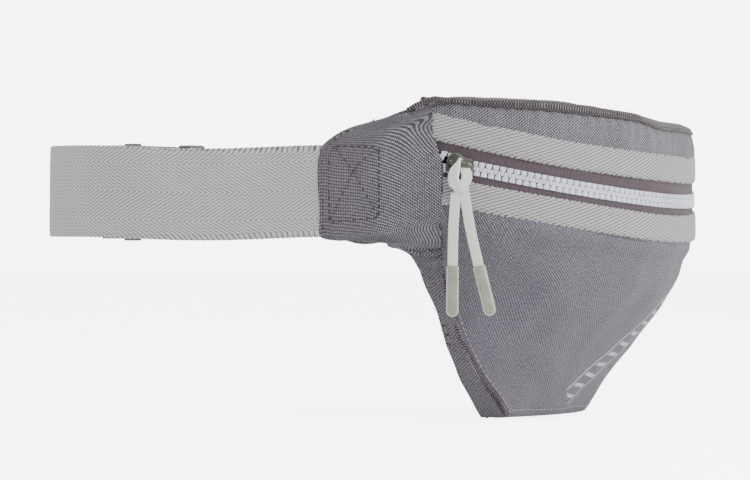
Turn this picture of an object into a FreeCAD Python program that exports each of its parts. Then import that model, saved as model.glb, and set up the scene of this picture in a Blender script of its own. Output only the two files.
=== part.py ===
import FreeCAD, Part
import math
import os
import Sketcher

# A zipped waist pack: a curved pouch on a webbing belt with a side-release buckle.
# Millimetres. +Z is up, the front of the pouch faces -Y and the wearer stands at +Y.
# The origin is the centre of the flat outer face of the back panel.

V = FreeCAD.Vector
X_AXIS = V(1, 0, 0)
Y_AXIS = V(0, 1, 0)
Z_AXIS = V(0, 0, 1)
AT_ORIGIN = FreeCAD.Placement()

DIMENSIONS = {
    # Heights are measured from the middle of the back face.
    "bottom_height": -70,
    "top_height": 69.5,
    "fabric": 1.2,
    "foam": 4,
    # The zip runs round a circle whose axis leans forward, on a cone that leans back as much.
    "zip_radius": 103,
    "zip_centre_back": 27.7,
    "zip_centre_height": 46.8,
    "zip_lean": 12.5,
    "zip_end": 77.5,
    "tape_half_thickness": 0.4,
    "tape_inner_edge": 3,
    "tape_outer_upper": 12,
    "tape_outer_lower": -10,
    "trim_thickness": 1.4,
    "trim_width": 11,
    "trim_start_upper": 8.4,
    "trim_start_lower": -6.4,
    "top_seam": 29,
    "piping_radius": 1.3,
    "piping_end_inset": 1,
    # Parts that are sewn together stop this far apart, so that their solids do not overlap.
    "seam_gap": 0.5,
    # Moulded teeth: pitch along the chain, and reach across it.
    "tooth_pitch": 1.72,
    "tooth_angle": 0.74,
    "tooth_half_thickness": 1.2,
    "tooth_overlap": 0.9,
    "closed_teeth": 85,
    "first_tooth": -70.12,
    "open_teeth": 2,
    "open_first_tooth": -76.2,
    "open_gap": 1.5,
    "stop_length": 1.2,
    "stop_inset": 0.785,
    # Slider: two plates joined by a wedge, sizes across the chain are halves.
    "slider_angle": -71.9,
    "slider_half_length": 5.6,
    "slider_half_width": 4.7,
    "slider_tail_half_width": 3.7,
    "slider_channel": 1.6,
    "slider_plate": 1.2,
    "slider_slot": 0.85,
    "slider_flange": 0.8,
    "slider_nose_radius": 2,
    "slider_shoulder": 1,
    "wedge_half_width": 1.2,
    "wedge_start": -4.8,
    "wedge_end": -1.8,
    "bridge_bar_out": 6.4,
    "bridge_bar": 1.6,
    "bridge_half_opening": 3,
    "bridge_half_length": 4.4,
    "bridge_corner": 1.4,
    # Pull: a flat cord looped through the bridge, knotted, with two tails and dipped tips.
    "cord_width": 4.4,
    "cord_thickness": 1.3,
    "cord_bend_radius": 1.55,
    "loop_drop": 6,
    "knot_drop": 10.4,
    "knot_half_width": 4.2,
    "knot_half_height": 4,
    "knot_half_depth": 3,
    "knot_out": 0.6,
    "knot_aside": 0.5,
    "tip_radius": 2.5,
    "tip_length": 21,
    # Lower front panel: half width, edge and front of each level.
    "cheek_drop": 12,
    "high_level": -10,
    "high_half_width": 86.8,
    "high_edge": 7.3,
    "high_front": -64.5,
    "middle_level": -28,
    "middle_half_width": 81,
    "middle_edge": 3.6,
    "middle_front": -53.5,
    "low_level": -48,
    "low_half_width": 71.5,
    "low_edge": -2.5,
    "low_front": -38.5,
    "foot_level": -67,
    "foot_half_width": 56,
    "foot_edge": -11,
    "foot_front": -23,
    "bottom_inset": 1,
    "top_back_half": 55,
    # Back: flat in the middle and wrapped round the hips at both sides.
    "back_flat_half": 45,
    "back_wrap_radius": 64,
    "back_wrap_angle": 73,
    "back_foot_half_width": 57,
    "back_low_half_width": 73,
    "back_middle_half_width": 80.5,
    "back_high_half_width": 87,
    "back_wing_level": 4,
    "back_wing_half_width": 93,
    "back_shoulder_half_width": 88,
    "back_shoulder_level": 58,
    "back_wing_reach": 5,
    "back_wing_fall": 8,
    "back_top_inset": 22,
    "back_foot_inset": 4,
    # Wings: flat panels that carry the belt, swept out from the ends of the zip.
    "wing_sweep": 20,
    "wing_front": 5.4,
    "wing_half_width": 100.6,
    "wing_length": 50,
    "wing_foot": 4,
    "wing_end_foot": 9.5,
    "wing_end_top": 47,
    "wing_neck_level": 58,
    "wing_end_bulge": 2,
    "wing_end_drop": 8,
    "wing_neck_near": 35,
    "wing_neck_far": 13,
    "wing_neck_rise": 1.5,
    "wing_neck_fall": 1,
    "wing_shoulder_rise": 5.5,
    "wing_shoulder_along": 6,
    # The wing's front edge steps back from the ends of the trims, the tapes and the stops.
    "wing_setback_low": 4.3,
    "wing_setback_stop": 1.6,
    "wing_tape_level": 40,
    "wing_stop_level": 46.5,
    "gusset_top_front": 9.6,
    "wing_pad_thickness": 4,
    # Belt and the loop it closes behind the wearer.
    "belt_width": 38,
    "belt_thickness": 1.6,
    "belt_level": 29,
    "belt_overlap": 42,
    "belt_side_run": 74,
    "belt_turn_radius": 44,
    "belt_end_left": -27.5,
    "belt_end_right": 12.5,
    "tail_start": 22,
    "tail_turn": 68,
    "tail_gap": 3,
    # Side-release buckle, lying along the back run of the belt.
    "buckle_half_height": 21,
    "buckle_half_depth": 5.5,
    "socket_length": 34,
    "socket_depth": 24,
    "socket_half_height": 18,
    "socket_half_depth": 3.5,
    "socket_wall": 2,
    "window_near": 8,
    "window_far": 22.5,
    "rail_inside": 19.3,
    "bar_half_depth": 0.7,
    "bar_width": 2.5,
    "plug_gap": 0.6,
    "plug_shoulder": 7,
    "plug_length": 28.5,
    "plug_bar_first": 6,
    "plug_bar_spacing": 12.4,
    "tongue_half_height": 3,
    "tongue_half_depth": 2.5,
    "tongue_clearance": 4,
    "arm_half_depth": 3,
    "arm_inside": 10,
    "arm_outside": 14,
    "arm_pad_outside": 22,
    "arm_pad_near": 8.4,
    "arm_pad_far": 18.5,
    "arm_pad_crest": 5,
    "arm_pad_slope": 5,
    "arm_rise": 1,
    "overcut": 1,
    "keeper_position": 60,
    "keeper_width": 14,
    "keeper_wall": 1.2,
    "keeper_clearance": 0.4,
}

doc = FreeCAD.newDocument("WaistPack")
sheet = doc.addObject("Spreadsheet::Sheet", "Dims")
for row, (alias, number) in enumerate(DIMENSIONS.items(), start=1):
    sheet.set(f"A{row}", alias.replace("_", " "))
    sheet.set(f"B{row}", str(number))
    sheet.setAlias(f"B{row}", alias)
doc.recompute()

sub_parts = []


def value(expression):
    """The number that an expression on the sheet gives."""
    result = sheet.evalExpression(str(expression))
    return float(getattr(result, "Value", result))


def new_body(name, placement=AT_ORIGIN):
    """A sub-part made in PartDesign."""
    body = doc.addObject("PartDesign::Body", name)
    body.Label = name
    body.Placement = placement
    sub_parts.append(body)
    return body


def origin_feature(body, role):
    return next(item for item in body.Origin.OriginFeatures if item.Role == role)


def new_sketch(body, name, plane, offset=AT_ORIGIN):
    """A sketch on one of the body's own origin planes."""
    sketch = body.newObject("Sketcher::SketchObject", f"{body.Name}_{name}")
    sketch.AttachmentSupport = [(origin_feature(body, plane), "")]
    sketch.MapMode = "FlatFace"
    sketch.AttachmentOffset = offset
    return sketch


def bind(sketch, kind, edge, end, expression):
    """One dimension of the sketch, bound to an expression."""
    if end is None:
        constraint = Sketcher.Constraint(kind, edge, value(expression))
    else:
        constraint = Sketcher.Constraint(kind, edge, end, value(expression))
    index = sketch.addConstraint(constraint)
    sketch.setExpression(f"Constraints[{index}]", str(expression))


def arc_middle(start, end, radius, side):
    """Middle of the arc from start to end that bulges to one side: 1 is left, -1 is right."""
    along = end - start
    half = along.Length / 2
    rise = radius - math.sqrt(max(radius * radius - half * half, 0))
    left = V(-along.y, along.x, 0) / along.Length
    return (start + end) / 2 + left * rise * side


def add_arc(sketch, start, middle, end, forward):
    """An arc, stored counter-clockwise as a sketch needs it."""
    return sketch.addGeometry(Part.Arc(start, middle, end) if forward else Part.Arc(end, middle, start))


def outline(sketch, corners, bends=None):
    """A closed outline. Corners are pairs of expressions; bends are {edge: (radius, side)}."""
    bends = bends or {}
    points = [V(value(x), value(y), 0) for x, y in corners]
    ends = []
    for number, start in enumerate(points):
        end = points[(number + 1) % len(points)]
        if number in bends:
            radius, side = bends[number]
            middle = arc_middle(start, end, value(radius), side)
            forward = side < 0
            edge = add_arc(sketch, start, middle, end, forward)
        else:
            edge = sketch.addGeometry(Part.LineSegment(start, end))
            forward = True
        ends.append((edge, 1, 2) if forward else (edge, 2, 1))
    for number, (edge, first, last) in enumerate(ends):
        next_edge, next_first, _ = ends[(number + 1) % len(ends)]
        sketch.addConstraint(Sketcher.Constraint("Coincident", edge, last, next_edge, next_first))
    for (edge, first, _), (x, y) in zip(ends, corners):
        bind(sketch, "DistanceX", edge, first, x)
        bind(sketch, "DistanceY", edge, first, y)
    for number, (radius, _) in bends.items():
        bind(sketch, "Radius", ends[number][0], None, radius)


def rectangle(sketch, x_low, x_high, y_low, y_high):
    outline(sketch, [(x_low, y_low), (x_high, y_low), (x_high, y_high), (x_low, y_high)])


def pad(body, sketch, length, midplane=False, reverse=False):
    feature = body.newObject("PartDesign::Pad", f"{sketch.Name}_pad")
    feature.Profile = sketch
    feature.Midplane = midplane
    feature.Reversed = reverse
    feature.setExpression("Length", str(length))
    sketch.Visibility = False
    return feature


def pocket(body, sketch, length, reverse=False, midplane=False):
    """A pocket that must take material away."""
    doc.recompute()
    before = body.Shape.Volume
    feature = body.newObject("PartDesign::Pocket", f"{sketch.Name}_pocket")
    feature.Profile = sketch
    feature.Reversed = reverse
    feature.Midplane = midplane
    feature.setExpression("Length", str(length))
    doc.recompute()
    if body.Shape.Volume > before - 1e-3:
        raise RuntimeError(f"{feature.Name} cut nothing")
    return feature


def revolution(body, sketch, angle, midplane=True):
    feature = body.newObject("PartDesign::Revolution", f"{sketch.Name}_turn")
    feature.Profile = sketch
    feature.ReferenceAxis = (origin_feature(body, "Z_Axis"), [""])
    feature.Midplane = midplane
    feature.setExpression("Angle", str(angle))
    return feature


def loft(body, sketches):
    feature = body.newObject("PartDesign::AdditiveLoft", f"{body.Name}_loft")
    feature.Profile = sketches[0]
    feature.Sections = sketches[1:]
    return feature


def turned(axis, degrees, base=V(0, 0, 0)):
    return FreeCAD.Placement(base, FreeCAD.Rotation(axis, degrees))


# ---- the zip, its tapes, trims and the upper panel ----

ZIP_FRAME = (
    turned(X_AXIS, value("zip_lean"), V(0, value("zip_centre_back"), value("zip_centre_height")))
    * turned(Z_AXIS, -90)
)


def cone_point(along, out):
    """Radius and height, in the zip's frame, of a point up the cone and out from it."""
    radius = f"Dims.zip_radius + ({out}) * cos(Dims.zip_lean) - ({along}) * sin(Dims.zip_lean)"
    height = f"({along}) * cos(Dims.zip_lean) + ({out}) * sin(Dims.zip_lean)"
    return radius, height


def cone_section(sketch, low, high, inside, outside):
    outline(
        sketch,
        [
            cone_point(low, inside),
            cone_point(low, outside),
            cone_point(high, outside),
            cone_point(high, inside),
        ],
    )


def zip_band(name, low, high, inside, outside):
    """A strip that runs round the front along the zip."""
    body = new_body(name, ZIP_FRAME)
    sketch = new_sketch(body, "section", "XZ_Plane")
    cone_section(sketch, low, high, inside, outside)
    revolution(body, sketch, "2 * Dims.zip_end")
    return body


def zip_bands():
    tape = "Dims.tape_half_thickness"
    trim = f"{tape} + Dims.trim_thickness"
    panel = f"{tape} - Dims.fabric"
    zip_band("zip_tape_upper", "Dims.tape_inner_edge", "Dims.tape_outer_upper", f"-{tape}", tape)
    zip_band("zip_tape_lower", "Dims.tape_outer_lower", "-Dims.tape_inner_edge", f"-{tape}", tape)
    upper_end = "Dims.trim_start_upper + Dims.trim_width"
    lower_end = "Dims.trim_start_lower - Dims.trim_width"
    zip_band("trim_tape_upper", "Dims.trim_start_upper", upper_end, tape, trim)
    zip_band("trim_tape_lower", lower_end, "Dims.trim_start_lower", tape, trim)
    zip_band("front_panel_upper", "Dims.tape_outer_upper", "Dims.top_seam", panel, tape)


def tooth_row(name, side):
    """A row of teeth: closed from inside the slider to the far end, open beside the near stop."""
    thick = "Dims.tooth_half_thickness"
    stagger = 0 if side > 0 else value("tooth_pitch") / 2
    frame = ZIP_FRAME * turned(Z_AXIS, value("first_tooth") + stagger)
    body = new_body(name, frame)
    reach, root = f"{-side} * Dims.tooth_overlap", f"{side} * Dims.tape_inner_edge"
    sketch = new_sketch(body, "closed", "XZ_Plane")
    cone_section(sketch, reach, root, f"-{thick}", thick)
    tooth = revolution(body, sketch, "Dims.tooth_angle")
    copy_round(body, tooth, "Dims.closed_teeth")
    swing = turned(Y_AXIS, value("open_first_tooth - first_tooth"))
    open_sketch = new_sketch(body, "open", "XZ_Plane", swing)
    cone_section(open_sketch, f"{side} * Dims.open_gap", root, f"-{thick}", thick)
    open_tooth = revolution(body, open_sketch, "Dims.tooth_angle")
    copy_round(body, open_tooth, "Dims.open_teeth")


def copy_round(body, feature, count):
    pattern = body.newObject("PartDesign::PolarPattern", f"{feature.Name}_row")
    pattern.Originals = [feature]
    pattern.Axis = (origin_feature(body, "Z_Axis"), [""])
    pattern.setExpression("Occurrences", count)
    pattern.setExpression("Angle", f"Dims.tooth_pitch * ({count} - 1)")
    body.Tip = pattern


def zip_stops():
    """A moulded block across both tapes at the closed end and at the open end."""
    body = new_body("zip_stops", ZIP_FRAME)
    for side in (-1, 1):
        middle = side * value("zip_end - 180 / pi * stop_inset / zip_radius")
        sketch = new_sketch(body, "end" if side > 0 else "start", "XZ_Plane", turned(Y_AXIS, middle))
        reach = "Dims.tape_inner_edge"
        cone_section(sketch, f"-{reach}", reach, "-Dims.tooth_half_thickness", "Dims.tooth_half_thickness")
        revolution(body, sketch, "180 / pi * Dims.stop_length / Dims.zip_radius")


# ---- the slider and its pull ----

SLIDER_FRAME = (
    ZIP_FRAME
    * turned(Z_AXIS, value("slider_angle"))
    * FreeCAD.Placement(V(value("zip_radius"), 0, 0), FreeCAD.Rotation())
    * turned(Y_AXIS, -value("zip_lean"))
)


def slider_outline(sketch):
    """Plan of a plate: wide at the leading end, narrow at the tail."""
    length, wide, narrow = "Dims.slider_half_length", "Dims.slider_half_width", "Dims.slider_tail_half_width"
    round_end, shoulder = "Dims.slider_nose_radius", "Dims.slider_shoulder"
    nose = f"{length} - {round_end}"
    outline(
        sketch,
        [
            (f"-({nose})", f"-{wide}"),
            (shoulder, f"-{wide}"),
            (length, f"-{narrow}"),
            (length, narrow),
            (shoulder, wide),
            (f"-({nose})", wide),
            (f"-{length}", f"{wide} - {round_end}"),
            (f"-{length}", f"-({wide} - {round_end})"),
        ],
        {5: (round_end, -1), 7: (round_end, -1)},
    )


def slider_body():
    """Two plates with turned-in edges, joined at the leading end by the wedge that parts the teeth."""
    body = new_body("slider_body", SLIDER_FRAME)
    for side in (-1, 1):
        label = "outer" if side > 0 else "inner"
        lift = FreeCAD.Placement(V(0, 0, side * value("slider_channel")), FreeCAD.Rotation())
        sketch = new_sketch(body, label, "YZ_Plane", lift)
        slider_outline(sketch)
        pad(body, sketch, "Dims.slider_plate", reverse=side < 0)
    wedge = new_sketch(body, "wedge", "YZ_Plane")
    half = "Dims.wedge_half_width"
    rectangle(wedge, "Dims.wedge_start", "Dims.wedge_end", f"-{half}", half)
    pad(body, wedge, "2 * Dims.slider_channel + Dims.slider_plate", midplane=True)
    for side in (-1, 1):
        for edge in (-1, 1):
            label = f"flange_{'outer' if side > 0 else 'inner'}_{'upper' if edge > 0 else 'lower'}"
            lift = FreeCAD.Placement(V(0, 0, side * value("slider_slot")), FreeCAD.Rotation())
            sketch = new_sketch(body, label, "YZ_Plane", lift)
            low, high = "Dims.slider_half_width - Dims.slider_flange", "Dims.slider_half_width"
            first, last = (low, high) if edge > 0 else (f"-{high}", f"-({low})")
            nose = "-(Dims.slider_half_length - Dims.slider_nose_radius)"
            rectangle(sketch, nose, "Dims.slider_shoulder", first, last)
            depth = "Dims.slider_channel - Dims.slider_slot + 0.5 * Dims.slider_plate"
            pad(body, sketch, depth, reverse=side < 0)


def slider_bridge():
    """An arch along the slider that the cord runs under."""
    body = new_body("slider_bridge", SLIDER_FRAME)
    sketch = new_sketch(body, "arch", "XY_Plane")
    foot = "Dims.slider_channel + Dims.slider_plate"
    top = "Dims.bridge_bar_out + 0.5 * Dims.bridge_bar"
    under = "Dims.bridge_bar_out - 0.5 * Dims.bridge_bar"
    out, gap = "Dims.bridge_half_length", "Dims.bridge_half_opening"
    corner = "Dims.bridge_corner"
    outline(
        sketch,
        [
            (foot, f"-({out})"),
            (f"{top} - {corner}", f"-({out})"),
            (top, f"-({out} - {corner})"),
            (top, f"{out} - {corner}"),
            (f"{top} - {corner}", out),
            (foot, out),
            (foot, gap),
            (under, gap),
            (under, f"-{gap}"),
            (foot, f"-{gap}"),
        ],
        {1: (corner, 1), 3: (corner, 1)},
    )
    pad(body, sketch, "Dims.bridge_bar", midplane=True)


BAR_CENTRE = SLIDER_FRAME.multVec(V(value("bridge_bar_out"), 0, 0))


def pull_frame():
    """Origin on the bridge's bar: x away from the bag, y along the zip, z up."""
    along = SLIDER_FRAME.Rotation.multVec(Y_AXIS)
    along = V(along.x, along.y, 0).normalize()
    away = along.cross(Z_AXIS)
    return FreeCAD.Placement(BAR_CENTRE, FreeCAD.Rotation(away, along, Z_AXIS, "ZXY"))


PULL_FRAME = pull_frame()


def pull_cord_loop():
    """The flat cord's bend round the bar, closed behind the knot."""
    body = new_body("pull_cord_loop", SLIDER_FRAME)
    sketch = new_sketch(body, "ring", "XZ_Plane")
    middle, drop = "Dims.bridge_bar_out", "Dims.loop_drop"
    for radius in ("Dims.cord_bend_radius + Dims.cord_thickness", "Dims.cord_bend_radius"):
        ring_outline(sketch, middle, drop, radius)
    pad(body, sketch, "Dims.cord_width", midplane=True)


def ring_outline(sketch, middle, drop, radius):
    """An oblong: two straight strands and a half circle at each end."""
    half_turn = value(radius)
    centre = value(middle)
    low = -value(drop)
    top = sketch.addGeometry(
        Part.Arc(V(centre + half_turn, 0, 0), V(centre, half_turn, 0), V(centre - half_turn, 0, 0))
    )
    end = sketch.addGeometry(
        Part.Arc(V(centre - half_turn, low, 0), V(centre, low - half_turn, 0), V(centre + half_turn, low, 0))
    )
    strand_in = sketch.addGeometry(
        Part.LineSegment(V(centre - half_turn, 0, 0), V(centre - half_turn, low, 0))
    )
    strand_out = sketch.addGeometry(
        Part.LineSegment(V(centre + half_turn, low, 0), V(centre + half_turn, 0, 0))
    )
    for first, second in ((top, strand_in), (strand_in, end), (end, strand_out), (strand_out, top)):
        sketch.addConstraint(Sketcher.Constraint("Tangent", first, 2, second, 1))
    bind(sketch, "DistanceX", top, 3, middle)
    bind(sketch, "DistanceX", end, 3, middle)
    sketch.addConstraint(Sketcher.Constraint("PointOnObject", top, 3, -1))
    bind(sketch, "DistanceY", end, 3, f"-{drop}")
    bind(sketch, "Radius", top, None, radius)


def feature(name, shape, placement=AT_ORIGIN):
    """A sub-part whose shape no feature makes."""
    item = doc.addObject("Part::Feature", name)
    item.Label = name
    item.Shape = shape
    item.Placement = placement
    sub_parts.append(item)
    return item


CORNER_SHARE = 0.45
VOLUME_TOLERANCE = 0.01


def cord_path(points):
    """Straight runs joined by tangent arcs, each as large as its two runs allow."""
    edges = []
    start = points[0]
    for before, corner, after in zip(points, points[1:], points[2:]):
        arrive = (corner - before).normalize()
        leave = (after - corner).normalize()
        turn = arrive.getAngle(leave)
        shorter = min((corner - before).Length, (after - corner).Length)
        setback = CORNER_SHARE * shorter
        radius = setback / math.tan(turn / 2)
        first = corner - arrive * setback
        last = corner + leave * setback
        inward = (leave - arrive).normalize()
        middle = corner + inward * (radius / math.cos(turn / 2) - radius)
        edges.append(Part.LineSegment(start, first).toShape())
        edges.append(Part.Arc(first, middle, last).toShape())
        start = last
        print(f"cord bend radius {radius:.1f} mm")
    edges.append(Part.LineSegment(start, points[-1]).toShape())
    return Part.Wire(edges)


def cord_tube(name, points, diameter):
    path = cord_path(points)
    ring = Part.makeCircle(diameter / 2, points[0], points[1] - points[0])
    tube = path.makePipeShell([Part.Wire(ring)], True, True)
    wanted = math.pi * diameter * diameter / 4 * path.Length
    if abs(tube.Volume / wanted - 1) > VOLUME_TOLERANCE:
        raise RuntimeError(f"{name} has the wrong volume")
    print(f"{name}: {path.Length:.1f} mm long")
    feature(name, tube, PULL_FRAME)


def pull_knot():
    """An egg-shaped knot under the slider."""
    egg = FreeCAD.Matrix()
    egg.scale(value("knot_half_depth"), value("knot_half_width"), value("knot_half_height"))
    egg.move(V(value("knot_out"), value("knot_aside"), -value("knot_drop")))
    feature("pull_knot", Part.makeSphere(1).transformGeometry(egg), PULL_FRAME)


def pull_tip(name, start, towards):
    """A dipped tip in line with the end of its tail."""
    lean = FreeCAD.Placement(start, FreeCAD.Rotation(Z_AXIS, towards))
    tip = doc.addObject("Part::Cylinder", name)
    tip.Label = name
    tip.setExpression("Radius", "Dims.tip_radius")
    tip.setExpression("Height", "Dims.tip_length")
    tip.Placement = PULL_FRAME * lean
    sub_parts.append(tip)


def pull():
    """The pull hangs from the bridge; points are in the pull's own frame."""
    tail_points = {
        "left": [V(0.6, -1.6, -12.6), V(1.4, -2.4, -22), V(1.2, -2.9, -33), V(0.9, -3.0, -44.4)],
        "right": [V(0.6, 2.0, -12.6), V(1.4, 3.4, -22), V(1.4, 5.5, -33), V(1.2, 8.3, -44.4)],
    }
    pull_cord_loop()
    pull_knot()
    for side, points in tail_points.items():
        cord_tube(f"pull_cord_{side}", points, value("cord_width"))
        pull_tip(f"pull_tip_{side}", points[-1], points[-1] - points[-2])


# ---- the pouch ----


def crescent(sketch, half_width, edge, front, thickness):
    """One level of a curved panel: an outer arc through the edges and the front, and one inside it."""
    sag = f"({edge} - ({front}))"
    radius = f"(({half_width})^2 + {sag}^2) / (2 * {sag})"
    inner = f"({radius} - {thickness})"
    share = f"({inner} / ({radius}))"
    centre = f"({front} + {radius})"
    inner_edge = f"({centre} + ({edge} - {centre}) * {share})"
    outline(
        sketch,
        [
            (f"-({half_width})", edge),
            (half_width, edge),
            (f"({half_width}) * {share}", inner_edge),
            (f"-({half_width}) * {share}", inner_edge),
        ],
        {0: (radius, -1), 2: (inner, 1)},
    )


def front_panel_lower():
    """From behind the lower trim down to the foot seam."""
    body = new_body("front_panel_lower")
    zip_plane = turned(
        X_AXIS, value("zip_lean"), V(0, value("zip_centre_back"), value("zip_centre_height"))
    )
    sections = []
    brow, cheek = "Dims.tape_outer_lower - Dims.seam_gap", "Dims.trim_start_lower - Dims.cheek_drop"
    for label, along in (("brow", brow), ("cheek", cheek)):
        out = "0.5 * Dims.tape_half_thickness"
        radius, height = cone_point(along, out)
        place = zip_plane * FreeCAD.Placement(V(0, 0, value(height)), FreeCAD.Rotation())
        sketch = new_sketch(body, label, "XY_Plane", place)
        width, edge = f"({radius}) * sin(Dims.zip_end)", f"-({radius}) * cos(Dims.zip_end)"
        crescent(sketch, width, edge, f"-({radius})", "Dims.fabric")
        sections.append(sketch)
    for level in ("high", "middle", "low", "foot"):
        place = FreeCAD.Placement(V(0, 0, value(f"{level}_level")), FreeCAD.Rotation())
        sketch = new_sketch(body, level, "XY_Plane", place)
        crescent(
            sketch,
            f"Dims.{level}_half_width",
            f"Dims.{level}_edge",
            f"Dims.{level}_front",
            "Dims.fabric",
        )
        sections.append(sketch)
    loft(body, sections).Ruled = True


def top_panel():
    """Closes the pouch from the top seam back to the back panel."""
    body = new_body("top_panel", ZIP_FRAME)
    radius, height = cone_point("Dims.top_seam", "Dims.tape_half_thickness - Dims.seam_gap")
    lift = FreeCAD.Placement(V(0, 0, value(height)), FreeCAD.Rotation())
    sketch = new_sketch(body, "plan", "XY_Plane", lift)
    back = "Dims.zip_centre_back"
    half = f"({radius}) * sin(Dims.zip_end)"
    corner = f"({radius}) * cos(Dims.zip_end)"
    outline(
        sketch,
        [
            (corner, f"-({half})"),
            (corner, half),
            (back, "Dims.top_back_half"),
            (back, "-Dims.top_back_half"),
        ],
        {0: (radius, -1)},
    )
    pad(body, sketch, "Dims.fabric")


def top_piping():
    """The corded seam round the front edge of the top."""
    body = new_body("top_piping", ZIP_FRAME)
    sketch = new_sketch(body, "cord", "XZ_Plane")
    radius, height = cone_point("Dims.top_seam", "Dims.tape_half_thickness + Dims.piping_radius")
    rim = sketch.addGeometry(Part.Circle(V(value(radius), value(height), 0), Z_AXIS, value("piping_radius")))
    bind(sketch, "DistanceX", rim, 3, radius)
    bind(sketch, "DistanceY", rim, 3, height)
    bind(sketch, "Radius", rim, None, "Dims.piping_radius")
    revolution(body, sketch, "2 * (Dims.zip_end - Dims.piping_end_inset)")


def side_gusset(name, side):
    """A narrow strip between the front panel and the back, from the wing down to the foot."""
    body = new_body(name)
    sections = []
    for level in ("wing", "high", "middle", "low", "foot"):
        if level == "wing":
            height, half, front = "Dims.back_wing_level", "Dims.back_wing_half_width", "Dims.gusset_top_front"
            back_half = "Dims.back_wing_half_width"
        else:
            height, half = f"Dims.{level}_level", f"Dims.{level}_half_width"
            front, back_half = f"Dims.{level}_edge + Dims.seam_gap", f"Dims.back_{level}_half_width"
        away = f"({back_half} - Dims.back_flat_half)"
        back = f"(Dims.back_wrap_radius - sqrt(Dims.back_wrap_radius^2 - {away}^2))"
        place = FreeCAD.Placement(V(0, 0, value(height)), FreeCAD.Rotation())
        sketch = new_sketch(body, level, "XY_Plane", place)
        outline(
            sketch,
            [
                (f"{side} * {half}", front),
                (f"{side} * ({half} + Dims.fabric)", front),
                (f"{side} * ({back_half} + Dims.fabric)", back),
                (f"{side} * {back_half}", back),
            ],
        )
        sections.append(sketch)
    loft(body, sections).Ruled = True


def bottom_panel():
    """The level strip under the pouch."""
    body = new_body("bottom_panel")
    place = FreeCAD.Placement(V(0, 0, value("bottom_height")), FreeCAD.Rotation())
    sketch = new_sketch(body, "plan", "XY_Plane", place)
    half, edge, front = "Dims.foot_half_width - Dims.bottom_inset", "Dims.foot_edge", "Dims.foot_front"
    sag = f"({edge} - ({front}))"
    outline(
        sketch,
        [
            (f"-({half})", "-Dims.fabric - Dims.foam"),
            (f"-({half})", edge),
            (half, edge),
            (half, "-Dims.fabric - Dims.foam"),
        ],
        {1: (f"(({half})^2 + {sag}^2) / (2 * {sag})", -1)},
    )
    pad(body, sketch, "Dims.fabric")


def back_layer(name, near, thickness):
    """One layer of the back: flat in the middle, wrapped at the sides, cut to the back's outline."""
    body = new_body(name)
    place = FreeCAD.Placement(V(0, 0, value("bottom_height")), FreeCAD.Rotation())
    sketch = new_sketch(body, "plan", "XY_Plane", place)
    flat, wrap = "Dims.back_flat_half", "Dims.back_wrap_radius"
    reach = "sin(Dims.back_wrap_angle)"
    fall = "cos(Dims.back_wrap_angle)"
    inner, outer = f"({wrap} + {near})", f"({wrap} + {near} + {thickness})"
    outline(
        sketch,
        [
            (f"-({flat} + {inner} * {reach})", f"{wrap} - {inner} * {fall}"),
            (f"-{flat}", f"{wrap} - {inner}"),
            (flat, f"{wrap} - {inner}"),
            (f"{flat} + {inner} * {reach}", f"{wrap} - {inner} * {fall}"),
            (f"{flat} + {outer} * {reach}", f"{wrap} - {outer} * {fall}"),
            (flat, f"{wrap} - {outer}"),
            (f"-{flat}", f"{wrap} - {outer}"),
            (f"-({flat} + {outer} * {reach})", f"{wrap} - {outer} * {fall}"),
        ],
        {0: (inner, -1), 2: (inner, -1), 4: (outer, 1), 6: (outer, 1)},
    )
    pad(body, sketch, "Dims.top_height - Dims.bottom_height")
    shape = new_sketch(body, "outline", "XZ_Plane")
    half = [
        ("Dims.back_foot_half_width", "Dims.foot_level"),
        ("Dims.back_low_half_width", "Dims.low_level"),
        ("Dims.back_middle_half_width", "Dims.middle_level"),
        ("Dims.back_high_half_width", "Dims.high_level"),
        ("Dims.back_wing_half_width", "Dims.back_wing_level"),
        ("Dims.back_wing_half_width + Dims.back_wing_reach", "Dims.wing_end_foot"),
        (
            "Dims.back_wing_half_width + Dims.back_wing_reach",
            "Dims.wing_neck_level - Dims.back_wing_fall",
        ),
        ("Dims.back_shoulder_half_width", "Dims.back_shoulder_level"),
        (
            "Dims.back_shoulder_half_width - Dims.back_top_inset",
            "Dims.top_height - Dims.seam_gap",
        ),
    ]
    half.insert(
        0,
        ("Dims.back_foot_half_width - Dims.back_foot_inset", "Dims.bottom_height + Dims.seam_gap"),
    )
    outline(shape, half + [(f"-({x})", z) for x, z in reversed(half)])
    far = "2 * Dims.zip_radius"
    rectangle(shape, f"-({far})", far, f"-({far})", far)
    pocket(body, shape, f"4 * ({far})", midplane=True)


# ---- wings and belt ----


def wing_frame(side):
    """Origin at the foot of a wing's front edge: x runs back along the wing, z is up."""
    sweep = math.radians(value("wing_sweep"))
    along = V(side * math.sin(sweep), math.cos(sweep), 0)
    corner = V(side * value("wing_half_width"), value("wing_front"), 0)
    return FreeCAD.Placement(corner, FreeCAD.Rotation(along, Z_AXIS.cross(along), Z_AXIS, "ZXY"))


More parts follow.
